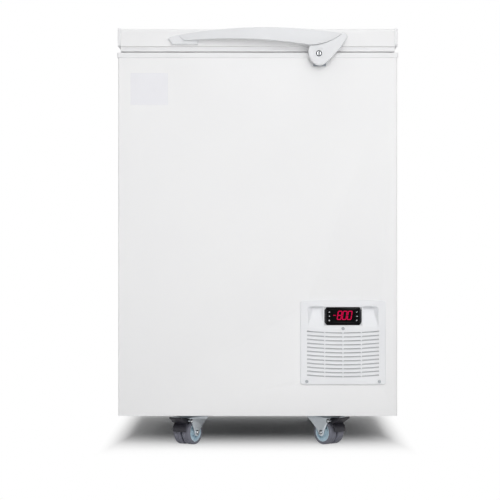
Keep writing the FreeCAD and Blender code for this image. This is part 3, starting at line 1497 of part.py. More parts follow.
casters = {
    "front_right": ("caster_x", f"({front}+caster_front_inset)", "swivel_front_right", True),
    "front_left": ("-caster_x", f"({front}+caster_front_inset)", "swivel_front_left", True),
    "rear_right": ("caster_x", f"({rear}-caster_back_inset)", "swivel_back_right", False),
    "rear_left": ("-caster_x", f"({rear}-caster_back_inset)", "swivel_back_left", False),
}
wheel_inner = "(wheel_split/2)"
wheel_outer = "(wheel_split/2+wheel_width)"
leg_inner = f"({wheel_outer}+wheel_side_gap)"
leg_outer = f"({leg_inner}+fork_wall)"


def caster_top_plates():
    """Bolted mounting plates, each with its kingpin riveted in the middle."""
    plates = []
    under = "(pan_bottom-mount_plate_wall)"
    head_top = "(fork_top_z-fork_wall-kingpin_head_height)"
    for tag, (at_x, at_y, turn, braked) in casters.items():
        parts = [
            block(f"plate_{tag}", (f"{at_x}-mount_plate/2", f"{at_x}+mount_plate/2"),
                  (f"{at_y}-mount_plate/2", f"{at_y}+mount_plate/2"), (under, "pan_bottom")),
            rod(f"kingpin_{tag}", "kingpin_radius", "z", (at_x, at_y, head_top), f"{under}-{head_top}"),
            rod(f"kingpin_head_{tag}", "kingpin_head", "z", (at_x, at_y, f"{head_top}-kingpin_fit"),
                "kingpin_head_height"),
        ]
        for side in ("-", "+"):
            for end in ("-", "+"):
                parts.append(rod(f"bolt_{tag}_{len(parts)}", "mount_bolt_head", "z",
                                 (f"{at_x}{side}mount_bolt_spacing/2", f"{at_y}{end}mount_bolt_spacing/2",
                                  f"{under}-mount_bolt_height"), "mount_bolt_height"))
        plates.append(joined(f"top_plate_{tag}", parts))
    return grouped("caster_top_plates", plates)


def caster_fork(tag):
    """Pressed fork with tapered legs, a ball race on top, the axle and its rivets."""
    at_x, at_y, turn, braked = casters[tag]
    body = new_body(f"caster_fork_{tag}", (at_x, at_y, "0"), turn)
    tail = "(caster_trail+fork_back)"
    top = new_sketch(body, "XY", f"fork_top_{tag}", "fork_top_z")
    draw_rectangle(top, ("-fork_front", tail), (f"-{leg_outer}", leg_outer), "fork_round")
    pad(body, top, "fork_wall", backwards=True)
    race = new_sketch(body, "XZ", f"race_{tag}")
    floor, ceiling = "(fork_top_z-fork_wall)", "(pan_bottom-mount_plate_wall-race_gap)"
    draw_loop(race, [
        ("kingpin_radius", floor), ("race_radius", floor), ("race_radius", f"{ceiling}-race_round", "race_bulge"),
        ("race_radius-race_round", ceiling), ("kingpin_radius", ceiling),
    ])
    turned(body, race)
    for label, offset, backwards in (("near", leg_inner, False), ("far", f"-{leg_inner}", True)):
        leg = new_sketch(body, "XZ", f"leg_{label}_{tag}", offset)
        draw_loop(leg, [
            ("-fork_front", "fork_top_z"), ("-fork_front", "fork_top_z-fork_shoulder", "-fork_hollow"),
            ("caster_trail-fork_toe", "wheel_radius", "fork_toe"),
            ("caster_trail+fork_toe", "wheel_radius", "-fork_hollow"),
            (tail, "fork_top_z-fork_shoulder"), (tail, "fork_top_z"),
        ])
        pad(body, leg, "fork_wall", backwards=backwards)
    axle = new_sketch(body, "XZ", f"axle_{tag}")
    draw_circle(axle, "caster_trail", "wheel_radius", "axle_radius")
    pad(body, axle, f"2*{leg_outer}", centred=True)
    for label, start, backwards in (("near", leg_outer, False), ("far", f"-{leg_outer}", True)):
        rivet = new_sketch(body, "XZ", f"rivet_{label}_{tag}", start)
        draw_circle(rivet, "caster_trail", "wheel_radius", "rivet_radius")
        pad(body, rivet, "rivet_height", backwards=backwards)
    hole = new_sketch(body, "XY", f"pin_hole_{tag}", "pan_bottom")
    draw_circle(hole, "0", "0", "kingpin_radius+kingpin_fit")
    pocket(body, hole, "pan_bottom-fork_top_z+2*fork_wall")
    if braked:
        pin = new_sketch(body, "XZ", f"pedal_pin_{tag}")
        draw_circle(pin, "pedal_pin_x", "pedal_pin_z", "pedal_pin_radius")
        pad(body, pin, f"2*({leg_outer}+pedal_pin_end)", centred=True)
    return body


def caster_wheel(tag, side):
    """A wheel of the pair: a core dished on its outer face, and a tyre with rounded shoulders."""
    at_x, at_y, turn, braked = casters[tag]
    hub_at = (f"{at_x}+caster_trail*cos({turn})", f"{at_y}+caster_trail*sin({turn})", "wheel_radius")
    bore, rim = "(axle_radius+axle_fit)", "(wheel_radius-tyre_depth)"
    dish_rim = f"({rim}-rim_wall)"
    if side == "b":
        low, high = wheel_inner, wheel_outer
        floor = f"({high}-wheel_dish)"
        section = [(low, bore), (high, bore), (high, "hub_boss"), (floor, "hub_boss+rim_draft"),
                   (floor, f"{dish_rim}-rim_draft"), (high, dish_rim), (high, rim), (low, rim)]
    else:
        low, high = f"-{wheel_outer}", f"-{wheel_inner}"
        floor = f"({low}+wheel_dish)"
        section = [(low, bore), (high, bore), (high, rim), (low, rim), (low, dish_rim),
                   (floor, f"{dish_rim}-rim_draft"), (floor, "hub_boss+rim_draft"), (low, "hub_boss")]
    core = new_body(f"core_{tag}_{side}", hub_at, turn)
    profile = new_sketch(core, "YZ", f"core_profile_{tag}_{side}")
    draw_loop(profile, section)
    turned(core, profile, line="H_Axis")
    tyre = new_body(f"tyre_{tag}_{side}", hub_at, turn)
    tread = new_sketch(tyre, "YZ", f"tyre_profile_{tag}_{side}")
    draw_loop(tread, [
        (low, rim), (high, rim), (high, "wheel_radius-tyre_round", "tyre_bulge"),
        (f"{high}-tyre_round", "wheel_radius"), (f"{low}+tyre_round", "wheel_radius", "tyre_bulge"),
        (low, "wheel_radius-tyre_round"),
    ])
    turned(tyre, tread, line="H_Axis")
    return grouped(f"caster_wheel_{tag}_{side}", [core, tyre])


def brake_pedal(tag):
    """Moulded pedal: a tread above, and a cover that follows the wheels on the trailing side."""
    at_x, at_y, turn, braked = casters[tag]
    body = new_body(f"brake_pedal_{tag}", (at_x, at_y, "0"), turn)
    side = new_sketch(body, "XZ", f"pedal_profile_{tag}")
    inner = "(wheel_radius+pedal_cover_gap)"
    outer = f"({inner}+pedal_cover_wall)"
    across, up = "caster_trail", "wheel_radius"
    tip_x, tip_z = "(pedal_pin_x+pedal_tip_reach)", "(pedal_pin_z+pedal_tip_rise)"
    heel_x = "(pedal_pin_x-pedal_heel_reach)"
    draw_loop(side, [
        (f"{across}+{inner}", f"{up}+pedal_cover_low"),
        (f"{across}+{outer}", f"{up}+pedal_cover_low", "pedal_cover_bulge"),
        (f"{across}+{outer}*cos(pedal_cover_turn)", f"{up}+{outer}*sin(pedal_cover_turn)"),
        (tip_x, f"{tip_z}-pedal_wall"), (tip_x, tip_z, "pedal_tip_bulge"),
        ("pedal_pin_x+pedal_crest_reach", "pedal_pin_z+pedal_crest_rise", "pedal_crest_bulge"),
        (heel_x, "pedal_pin_z+pedal_heel_rise", "pedal_heel_bulge"), (heel_x, "pedal_pin_z-pedal_heel_rise"),
        (f"{across}+{inner}*cos(pedal_inner_turn)", f"{up}+{inner}*sin(pedal_inner_turn)", "pedal_inner_bulge"),
    ])
    pad(body, side, "pedal_width", centred=True)
    bore = new_sketch(body, "XZ", f"pedal_bore_{tag}")
    draw_circle(bore, "pedal_pin_x", "pedal_pin_z", "pedal_pin_radius+pedal_pin_fit")
    pocket(body, bore, "pedal_width+2*cut_past", centred=True)
    return body


pieces = [
    outer_shell(), rear_panel(), inner_liner(), insulation_foam(), evaporator_coil(), top_collar(),
    base_pan(), machine_bay_wall(), vent_panel(), vent_panel_screws(), air_filter(), controller_housing(),
    display_window(), compressor(), compressor_mounts(), relay_cover(), condenser(), fan_shroud(),
    fan_blade(), fan_motor(), filter_drier(), refrigerant_pipes(), power_inlet(), lock_keeper(),
    lid_skin(), lid_side_trims(), lid_liner(), lid_gasket(), lid_foam(),
    handle_grip(), handle_foot(), lock_housing(), lock_cylinder(), lock_cam(), caster_top_plates(),
]
pieces += hinge_parts()
pieces += [key_cap(name) for name in key_places]
for tag, caster in casters.items():
    pieces.append(caster_fork(tag))
    pieces += [caster_wheel(tag, side) for side in ("a", "b")]
    if caster[3]:
        pieces.append(brake_pedal(tag))

doc.recompute()
faults = [item.Name for item in doc.Objects if {"Invalid", "Error"} & set(item.State)]
if faults:
    raise RuntimeError(f"these objects failed: {', '.join(faults)}")
for piece in pieces:
    piece.Label = piece.Name
    if piece.Shape.isNull() or not piece.Shape.isValid() or not piece.Shape.Solids:
        raise RuntimeError(f"{piece.Label} has no sound solid")

os.makedirs("parts", exist_ok=True)
for piece in pieces:
    piece.Shape.exportStep(os.path.join("parts", f"{piece.Label}.step"))
    print(piece.Label, len(piece.Shape.Solids), "solid(s)", round(piece.Shape.Volume / 1000, 1), "cm3")
print(len(pieces), "nodes written")
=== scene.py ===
import json
import math

import bmesh
import bpy
from mathutils import Matrix, Vector


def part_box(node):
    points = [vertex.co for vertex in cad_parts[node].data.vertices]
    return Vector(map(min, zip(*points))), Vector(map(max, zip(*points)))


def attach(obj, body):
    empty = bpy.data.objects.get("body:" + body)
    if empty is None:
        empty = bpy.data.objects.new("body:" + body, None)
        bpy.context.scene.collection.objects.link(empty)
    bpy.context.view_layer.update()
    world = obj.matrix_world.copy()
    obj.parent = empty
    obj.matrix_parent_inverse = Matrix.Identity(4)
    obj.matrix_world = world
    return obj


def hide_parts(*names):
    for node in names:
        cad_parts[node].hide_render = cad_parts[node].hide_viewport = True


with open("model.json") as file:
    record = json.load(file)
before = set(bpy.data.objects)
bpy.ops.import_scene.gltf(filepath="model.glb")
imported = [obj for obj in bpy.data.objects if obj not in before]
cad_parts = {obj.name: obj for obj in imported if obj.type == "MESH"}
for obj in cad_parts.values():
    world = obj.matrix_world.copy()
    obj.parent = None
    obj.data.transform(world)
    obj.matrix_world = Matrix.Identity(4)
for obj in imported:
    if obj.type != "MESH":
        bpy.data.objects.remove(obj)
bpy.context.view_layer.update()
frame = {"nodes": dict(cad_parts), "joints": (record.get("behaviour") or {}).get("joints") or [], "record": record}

# Chest freezer of undercounter height: the finish of every piece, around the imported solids.
# Lengths in the dictionaries are in millimetres, but those of the floor, the lamps and the camera in metres.
mm = 0.001
bodyOf = {node: body for body, members in frame["record"]["behaviour"]["bodies"].items() for node in members}
slotOf = {part["node"]: part["material_slot"] for part in frame["record"]["subparts"]}
print("frame loaded:", len(frame["nodes"]), "nodes")


def linear(code):
    # an sRGB hex colour as the linear colour of a socket
    shares = [int(code[start:start + 2], 16) / 255 for start in (1, 3, 5)]
    return [s / 12.92 if s <= 0.04045 else ((s + 0.055) / 1.055) ** 2.4 for s in shares] + [1.0]


def perSize(millimetres):
    # texture scale that gives a pattern of this size
    return 1 / (millimetres * mm)


def setInputs(tree, node, inputs):
    # another node's socket is linked, anything else is set as the value
    for key, value in inputs.items():
        if isinstance(value, bpy.types.NodeSocket):
            tree.links.new(value, node.inputs[key])
        else:
            node.inputs[key].default_value = value


def addNode(tree, kind, inputs=None, **settings):
    node = tree.nodes.new(kind)
    for name, value in settings.items():
        setattr(node, name, value)
    setInputs(tree, node, inputs or {})
    return node


def emptyTree(owner):
    # the cleared nodes of a material or a world
    owner.use_nodes = True
    owner.node_tree.nodes.clear()
    return owner.node_tree


def startMaterial(name):
    material = bpy.data.materials.new(name)
    tree = emptyTree(material)
    shader = addNode(tree, "ShaderNodeBsdfPrincipled")
    addNode(tree, "ShaderNodeOutputMaterial", {"Surface": shader.outputs["BSDF"]})
    place = addNode(tree, "ShaderNodeTexCoord").outputs["Object"]
    return material, tree, shader, place


# Materials
usual = {"ior": 1.5, "shine": 0.5}  # paint and plastics, where a look says nothing else
coat = {"cloudDetail": 3.0, "peelDetail": 1.0, "peelDepth": 0.02, "glossSpread": 0.08}


def powderCoat(name, look):
    # painted steel sheet: a fine orange peel that softens the highlight, and faint broad clouding
    material, tree, shader, place = startMaterial(name)
    cloud = addNode(tree, "ShaderNodeTexNoise", {
        "Vector": place, "Scale": perSize(look["cloud"]), "Detail": coat["cloudDetail"]})
    peel = addNode(tree, "ShaderNodeTexNoise", {
        "Vector": place, "Scale": perSize(look["peel"]), "Detail": coat["peelDetail"]})
    tone = addNode(tree, "ShaderNodeMix", {
        "Factor": cloud.outputs["Fac"], "A": linear(look["light"]), "B": linear(look["dark"])}, data_type="RGBA")
    gloss = addNode(tree, "ShaderNodeMapRange", {
        "Value": cloud.outputs["Fac"], "To Min": look["roughness"],
        "To Max": look["roughness"] + coat["glossSpread"]})
    bump = addNode(tree, "ShaderNodeBump", {
        "Height": peel.outputs["Fac"], "Strength": look["relief"], "Distance": coat["peelDepth"] * mm})
    setInputs(tree, shader, {
        "Base Color": tone.outputs["Result"], "Roughness": gloss.outputs["Result"],
        "Normal": bump.outputs["Normal"], "IOR": usual["ior"],
        "Specular IOR Level": look.get("shine", usual["shine"])})
    return material


moulding = {"cloudDetail": 2.0, "grainDepth": 0.03, "glossSpread": 0.1}


def mouldedPlastic(name, look):
    # injection-moulded plastic: spark-eroded grain from the tool, drawn coarser than life so that it shows
    material, tree, shader, place = startMaterial(name)
    cloud = addNode(tree, "ShaderNodeTexNoise", {
        "Vector": place, "Scale": perSize(look["cloud"]), "Detail": moulding["cloudDetail"]})
    grain = addNode(tree, "ShaderNodeTexVoronoi", {"Vector": place, "Scale": perSize(look["grain"])})
    tone = addNode(tree, "ShaderNodeMix", {
        "Factor": cloud.outputs["Fac"], "A": linear(look["light"]), "B": linear(look["dark"])}, data_type="RGBA")
    gloss = addNode(tree, "ShaderNodeMapRange", {
        "Value": cloud.outputs["Fac"], "To Min": look["roughness"],
        "To Max": look["roughness"] + moulding["glossSpread"]})
    bump = addNode(tree, "ShaderNodeBump", {
        "Height": grain.outputs["Distance"], "Strength": look["relief"], "Distance": moulding["grainDepth"] * mm})
    setInputs(tree, shader, {
        "Base Color": tone.outputs["Result"], "Roughness": gloss.outputs["Result"],
        "Normal": bump.outputs["Normal"], "IOR": usual["ior"],
        "Specular IOR Level": look.get("shine", usual["shine"])})
    return material


plating = {"cloudDetail": 3.0, "streakDetail": 4.0, "streakDepth": 0.02, "glossSpread": 0.15, "low": 0.3,
           "high": 0.7}


def platedMetal(name, look):
    # bare or plated metal: cloudy tone and uneven gloss; a stretch below 1 draws the scratches long on that axis
    material, tree, shader, place = startMaterial(name)
    stretched = addNode(tree, "ShaderNodeMapping", {"Vector": place, "Scale": look["stretch"]})
    streaks = addNode(tree, "ShaderNodeTexNoise", {
        "Vector": stretched.outputs["Vector"], "Scale": perSize(look["grain"]),
        "Detail": plating["streakDetail"]})
    cloud = addNode(tree, "ShaderNodeTexNoise", {
        "Vector": place, "Scale": perSize(look["cloud"]), "Detail": plating["cloudDetail"]})
    tone = addNode(tree, "ShaderNodeMix", {
        "Factor": cloud.outputs["Fac"], "A": linear(look["light"]), "B": linear(look["dark"])}, data_type="RGBA")
    gloss = addNode(tree, "ShaderNodeMapRange", {
        "Value": streaks.outputs["Fac"], "From Min": plating["low"], "From Max": plating["high"],
        "To Min": look["roughness"], "To Max": look["roughness"] + plating["glossSpread"]})
    bump = addNode(tree, "ShaderNodeBump", {
        "Height": streaks.outputs["Fac"], "Strength": look["relief"], "Distance": plating["streakDepth"] * mm})
    setInputs(tree, shader, {
        "Base Color": tone.outputs["Result"], "Roughness": gloss.outputs["Result"],
        "Normal": bump.outputs["Normal"], "Metallic": 1.0})
    return material


foam = {"cell": 2.0, "hollow": "#D9C48C", "wall": "#EBDDB0", "relief": 0.6, "depth": 0.4, "roughness": 0.9}


def rigidFoam(name):
    # blown polyurethane foam: cream cells, drawn at about twice their size so that they show
    material, tree, shader, place = startMaterial(name)
    cells = addNode(tree, "ShaderNodeTexVoronoi", {"Vector": place, "Scale": perSize(foam["cell"])})
    tone = addNode(tree, "ShaderNodeMix", {
        "Factor": cells.outputs["Distance"], "A": linear(foam["hollow"]), "B": linear(foam["wall"])},
        data_type="RGBA")
    bump = addNode(tree, "ShaderNodeBump", {
        "Height": cells.outputs["Distance"], "Strength": foam["relief"], "Distance": foam["depth"] * mm})
    setInputs(tree, shader, {
        "Base Color": tone.outputs["Result"], "Normal": bump.outputs["Normal"], "Roughness": foam["roughness"]})
    return material


felt = {"fibre": 1.2, "detail": 6.0, "tangle": 2.0, "dark": "#9C9EA2", "light": "#B9BBBF", "relief": 0.5,
        "depth": 0.3, "roughness": 0.95}


def nonwovenMat(name):
    # needled polyester filter mat: tangled fibres, drawn coarser than life so that they show between the louvres
    material, tree, shader, place = startMaterial(name)
    fibres = addNode(tree, "ShaderNodeTexNoise", {
        "Vector": place, "Scale": perSize(felt["fibre"]), "Detail": felt["detail"],
        "Distortion": felt["tangle"]})
    tone = addNode(tree, "ShaderNodeMix", {
        "Factor": fibres.outputs["Fac"], "A": linear(felt["dark"]), "B": linear(felt["light"])}, data_type="RGBA")
    bump = addNode(tree, "ShaderNodeBump", {
        "Height": fibres.outputs["Fac"], "Strength": felt["relief"], "Distance": felt["depth"] * mm})
    setInputs(tree, shader, {
        "Base Color": tone.outputs["Result"], "Normal": bump.outputs["Normal"], "Roughness": felt["roughness"]})
    return material


led = {"cloud": 3.0, "deep": "#C2003E", "hot": "#D8004A", "unlit": "#300010", "strength": 1.0, "shine": 0.05,
       "roughness": 0.5}


def litSegment(name):
    # light-emitting segments behind a tinted face: crimson, a little hotter in places
    material, tree, shader, place = startMaterial(name)
    cloud = addNode(tree, "ShaderNodeTexNoise", {"Vector": place, "Scale": perSize(led["cloud"])})
    tone = addNode(tree, "ShaderNodeMix", {
        "Factor": cloud.outputs["Fac"], "A": linear(led["deep"]), "B": linear(led["hot"])}, data_type="RGBA")
    setInputs(tree, shader, {
        "Emission Color": tone.outputs["Result"], "Base Color": linear(led["unlit"]),
        "Emission Strength": led["strength"], "Specular IOR Level": led["shine"], "Roughness": led["roughness"]})
    return material


# finish of each slot, for what has no material of its own below
finish = {
    "shell_paint": powderCoat("powder_coated_steel", {
        "light": "#F7F7F7", "dark": "#F4F4F5", "cloud": 160, "peel": 1.6, "relief": 0.35, "roughness": 0.42,
        "shine": 0.06}),
    "frame_plastic": mouldedPlastic("moulded_abs_white", {
        "light": "#F1F1F2", "dark": "#EDEDEE", "cloud": 60, "grain": 0.9, "relief": 0.2, "roughness": 0.4,
        "shine": 0.3}),
    "panel_plastic": mouldedPlastic("moulded_abs_cool_white", {
        "light": "#F0F1F3", "dark": "#ECEDF0", "cloud": 50, "grain": 0.9, "relief": 0.3, "roughness": 0.42,
        "shine": 0.35}),
    "trim_plastic": mouldedPlastic("moulded_abs_trim", {
        "light": "#F1F1F2", "dark": "#ECECEE", "cloud": 60, "grain": 0.9, "relief": 0.2, "roughness": 0.4,
        "shine": 0.3}),
    "grip_plastic": mouldedPlastic("moulded_nylon_white", {
        "light": "#EAEBED", "dark": "#E6E7E9", "cloud": 40, "grain": 1.0, "relief": 0.25, "roughness": 0.4,
        "shine": 0.2}),
    "bezel_plastic": mouldedPlastic("polished_abs_black", {
        "light": "#040405", "dark": "#070708", "cloud": 20, "grain": 0.6, "relief": 0.02, "roughness": 0.16,
        "shine": 0.06}),
    "window_tint": mouldedPlastic("tinted_acrylic", {
        "light": "#030405", "dark": "#060708", "cloud": 20, "grain": 0.6, "relief": 0.0, "roughness": 0.08,
        "shine": 0.06}),
    "key_plastic": mouldedPlastic("matt_abs_black", {
        "light": "#040405", "dark": "#070708", "cloud": 10, "grain": 0.6, "relief": 0.2, "roughness": 0.4,
        "shine": 0.06}),
    "relay_plastic": mouldedPlastic("phenolic_black", {
        "light": "#1A1A1C", "dark": "#232326", "cloud": 20, "grain": 1.0, "relief": 0.4, "roughness": 0.5}),
    "inlet_plastic": mouldedPlastic("glass_filled_nylon_black", {
        "light": "#151516", "dark": "#1E1E20", "cloud": 15, "grain": 0.8, "relief": 0.4, "roughness": 0.48}),
    "fan_plastic": mouldedPlastic("glass_filled_nylon_grey", {
        "light": "#2A2B2E", "dark": "#343539", "cloud": 20, "grain": 0.8, "relief": 0.3, "roughness": 0.5}),
    "pedal_plastic": mouldedPlastic("glass_filled_nylon_charcoal", {
        "light": "#24232B", "dark": "#2E2D36", "cloud": 14, "grain": 0.8, "relief": 0.4, "roughness": 0.45}),
    # tyres: slate polyurethane, drawn lighter as painted light for the shade under the cabinet
    "caster_rubber": mouldedPlastic("moulded_polyurethane_slate_painted_light", {
        "light": "#82828E", "dark": "#767783", "cloud": 12, "grain": 1.0, "relief": 0.35, "roughness": 0.5}),
    "mount_rubber": mouldedPlastic("moulded_rubber_black", {
        "light": "#18181A", "dark": "#222224", "cloud": 12, "grain": 0.8, "relief": 0.5, "roughness": 0.7}),
    "seal_rubber": mouldedPlastic("extruded_vinyl_white", {
        "light": "#F1F1F0", "dark": "#E9E9E8", "cloud": 30, "grain": 0.7, "relief": 0.2, "roughness": 0.55}),
    "pump_enamel": powderCoat("stoved_enamel_black", {
        "light": "#101113", "dark": "#17181A", "cloud": 50, "peel": 1.4, "relief": 0.5, "roughness": 0.3}),
    "filter_mat": nonwovenMat("nonwoven_polyester_grey"),
    # zinc plate, drawn lighter as painted light for the caster forks in the shade under the cabinet
    "zinc_steel": platedMetal("zinc_plated_steel_painted_light", {
        "light": "#DDE2E6", "dark": "#C8CFD5", "cloud": 9, "grain": 2.0, "stretch": (1.0, 1.0, 0.25),
        "relief": 0.25, "roughness": 0.28}),
    "lock_chrome": platedMetal("chrome_plated_zinc", {
        "light": "#D8DADC", "dark": "#C6C9CC", "cloud": 6, "grain": 1.0, "stretch": (1.0, 1.0, 1.0),
        "relief": 0.05, "roughness": 0.12}),
    "liner_metal": platedMetal("brushed_stainless_steel", {
        "light": "#C9CBCC", "dark": "#B9BBBD", "cloud": 90, "grain": 2.5, "stretch": (0.05, 1.0, 1.0),
        "relief": 0.4, "roughness": 0.32}),
    "fin_aluminium": platedMetal("mill_finish_aluminium", {
        "light": "#D3D5D6", "dark": "#BEC0C2", "cloud": 15, "grain": 1.2, "stretch": (1.0, 0.1, 1.0),
        "relief": 0.2, "roughness": 0.35}),
    "copper_tube": platedMetal("drawn_copper", {
        "light": "#C98A63", "dark": "#A9653F", "cloud": 12, "grain": 1.0, "stretch": (1.0, 1.0, 0.2),
        "relief": 0.15, "roughness": 0.3}),
    "foam_core": rigidFoam("polyurethane_foam"),
}
# wheel cores: blue-grey polypropylene, drawn lighter as painted light for the shade under the cabinet
tyreCorePaintedLight = mouldedPlastic("moulded_polypropylene_blue_grey_painted_light", {
    "light": "#DDF1FB", "dark": "#CFE6F2", "cloud": 8, "grain": 0.8, "relief": 0.25, "roughness": 0.38})
# galvanised sheet for the base pan, drawn darker as painted shade so that the shade under the cabinet deepens
panZincPaintedShade = platedMetal("galvanised_steel_painted_shade", {
    "light": "#8E9092", "dark": "#7C7E80", "cloud": 14, "grain": 2.0, "stretch": (1.0, 0.3, 1.0),
    "relief": 0.25, "roughness": 0.5})
strikeZinc = platedMetal("passivated_zinc_plate", {
    "light": "#8F9499", "dark": "#7D8287", "cloud": 5, "grain": 1.5, "stretch": (1.0, 1.0, 0.3),
    "relief": 0.2, "roughness": 0.42})
lockBarrel = platedMetal("nickel_plated_brass", {
    "light": "#B9BBBD", "dark": "#A6A8AB", "cloud": 3, "grain": 0.8, "stretch": (1.0, 1.0, 1.0),
    "relief": 0.1, "roughness": 0.3})
# flat black painted shade: the ring and key slot on the lock plug, and the dark outline round the rivet heads
paintedShadeBlack = mouldedPlastic("painted_shade_black", {
    "light": "#17181A", "dark": "#1E1F22", "cloud": 3, "grain": 0.5, "relief": 0.1, "roughness": 0.45,
    "shine": 0.2})
# mid grey screw heads: zinc plate, darkened as painted shade for their cross slots
screwZincPaintedShade = platedMetal("zinc_plated_screw_steel_painted_shade", {
    "light": "#A9ACAF", "dark": "#9B9EA1", "cloud": 3, "grain": 0.8, "stretch": (1.0, 1.0, 1.0),
    "relief": 0.15, "roughness": 0.4})
# dark grey for the bezel's side slopes: the black plastic with a painted reflection
bezelSideReflection = mouldedPlastic("abs_dark_grey_painted_reflection", {
    "light": "#2A2B2E", "dark": "#313236", "cloud": 12, "grain": 0.7, "relief": 0.1, "roughness": 0.4})
printInk = mouldedPlastic("printed_grey_ink", {
    "light": "#C4C6CA", "dark": "#B6B8BC", "cloud": 4, "grain": 0.5, "relief": 0.1, "roughness": 0.5})
labelFilm = mouldedPlastic("matt_polyester_film", {
    "light": "#EFEFF3", "dark": "#EBEBEF", "cloud": 30, "grain": 0.5, "relief": 0.12, "roughness": 0.5})
ledRed = litSegment("lit_crimson_segment")
print("materials made")


# Pieces
def keepPiece(bm, name, body, material, replaced=(), smooth=True):
    # a finished mesh becomes a piece at the origin that rides on a body
    mesh = bpy.data.meshes.new(name)
    bm.to_mesh(mesh)
    bm.free()
    for face in mesh.polygons:
        face.use_smooth = smooth
    piece = bpy.data.objects.new(name, mesh)
    bpy.context.scene.collection.objects.link(piece)
    mesh.materials.append(material)
    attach(piece, body)
    if replaced:
        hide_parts(*replaced)
    return piece


def roundEdges(piece, width, segments=3, angle=30):
    edge = piece.modifiers.new("rounded_edges", "BEVEL")
    edge.width = width * mm
    edge.segments = segments
    edge.limit_method = "ANGLE"
    edge.angle_limit = math.radians(angle)
    edge.harden_normals = True
    return piece


# corners closer than gap become one, and faces within flatAngle degrees of each other one face
merging = {"gap": 0.002, "flatAngle": 0.5}


def easedCopy(node, width, segments=3, material=None):
    # the solid's own faces, merged, with the sharp edges rounded as pressing or moulding leaves them
    bm = bmesh.new()
    bm.from_mesh(frame["nodes"][node].data)
    bmesh.ops.remove_doubles(bm, verts=bm.verts, dist=merging["gap"] * mm)
    bmesh.ops.dissolve_limit(bm, angle_limit=math.radians(merging["flatAngle"]), verts=bm.verts, edges=bm.edges)
    slot = slotOf[node]
    piece = keepPiece(bm, f"{node}_finished", bodyOf[node], material or finish[slot], [node])
    return roundEdges(piece, width, segments)


easedNodes = {
    "outer_shell": {"width": 2.6}, "rear_panel": {"width": 0.3}, "top_collar": {"width": 0.5},
    "vent_panel": {"width": 0.35}, "lid_skin": {"width": 0.5}, "lid_side_trims": {"width": 1.0},
    "lid_liner": {"width": 0.8}, "handle_grip": {"width": 2.6}, "handle_foot": {"width": 1.8},
    "lock_housing": {"width": 0.6}, "hinge_bases": {"width": 0.5}, "hinge_arms": {"width": 0.5},
    "power_inlet": {"width": 0.4}, "relay_cover": {"width": 1.5},
    "base_pan": {"width": 0.3, "material": panZincPaintedShade}, "lock_keeper": {"width": 0.4, "material": strikeZinc},
    "vent_panel_screws": {"width": 0.2, "segments": 2, "material": screwZincPaintedShade},
}
for node, edges in easedNodes.items():
    easedCopy(node, **edges)

bezel = {"width": 0.3, "segments": 2, "sideways": 0.5, "forwards": 0.5}


def bezelFrame():
    # the frame round the display, with the slopes at both sides drawn dark grey as a painted reflection on the
    # same black plastic
    piece = easedCopy("controller_housing", bezel["width"], bezel["segments"])
    piece.data.materials.append(bezelSideReflection)
    for face in piece.data.polygons:
        if abs(face.normal.x) > bezel["sideways"] and face.normal.y < -bezel["forwards"]:
            face.material_index = 1


bezelFrame()

casters = ("front_right", "front_left", "rear_right", "rear_left")
casterEdges = {"fork": {"width": 0.35, "segments": 2}, "pedal": {"width": 0.8}}
for tag in casters:
    easedCopy(f"caster_fork_{tag}", **casterEdges["fork"])
for tag in ("front_right", "front_left"):
    easedCopy(f"brake_pedal_{tag}", **casterEdges["pedal"])
print("cabinet, lid and fittings eased")

lathe = {"seam": 0.001}  # corners closer than this at the seam of a full turn become one


def latheRing(profile, steps):
    # a closed profile of (along, radius) turned fully about Z
    bm = bmesh.new()
    loop = [bm.verts.new((radius * mm, 0, along * mm)) for along, radius in profile]
    for start, end in zip(loop, loop[1:] + loop[:1]):
        bm.edges.new((start, end))
    bmesh.ops.spin(bm, geom=bm.verts[:] + bm.edges[:], cent=(0, 0, 0), axis=(0, 0, 1), dvec=(0, 0, 0),
                   angle=math.tau, steps=steps, use_merge=True, use_duplicate=False)
    bmesh.ops.remove_doubles(bm, verts=bm.verts, dist=lathe["seam"] * mm)
    bmesh.ops.recalc_face_normals(bm, faces=bm.faces)
    return bm


lock = {"edge": 0.3, "inner": 4.1, "outer": 5.8, "raised": 0.1, "steps": 48, "slotWide": 3.0, "slotTall": 6.4}


def lockPlug():
    # the plug, with a ring and a bar of painted shade laid on its face for the dark ring and the key slot
    node = "lock_cylinder"
    low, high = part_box(node)
    easedCopy(node, lock["edge"], material=lockBarrel)
    bm = latheRing([(0, lock["inner"]), (lock["raised"], lock["inner"]), (lock["raised"], lock["outer"]),
                    (0, lock["outer"])], lock["steps"])
    bmesh.ops.transform(bm, matrix=Matrix.Rotation(math.pi / 2, 4, "X"), verts=bm.verts)
    bar = bmesh.ops.create_cube(bm, size=1)["verts"]
    size = (lock["slotWide"], lock["raised"], lock["slotTall"])
    bmesh.ops.scale(bm, vec=[s * mm for s in size], verts=bar)
    bmesh.ops.translate(bm, vec=(0, -lock["raised"] / 2 * mm, 0), verts=bar)
    bm.transform(Matrix.Translation(((low.x + high.x) / 2, low.y, (low.z + high.z) / 2)))
    keepPiece(bm, "lock_painted_shade", bodyOf[node], paintedShadeBlack, smooth=False)


lockPlug()
print("lock made")

wheel = {"tyreDepth": 5.5, "tyreRound": 3.0, "grooveDepth": 0.5, "grooveHalf": 0.6, "rimWall": 2.5,
         "rimLip": 0.8, "dish": 9.0, "dishDraft": 1.0, "hubRadius": 7.0, "boreRadius": 3.06, "steps": 72}
wheelEdges = {"width": 0.5, "segments": 2, "angle": 40}


def halfWidth(node, outward):
    # half the wheel's reach along its own axle
    along = [vertex.co.dot(outward) for vertex in frame["nodes"][node].data.vertices]
    return (max(along) - min(along)) / 2 / mm


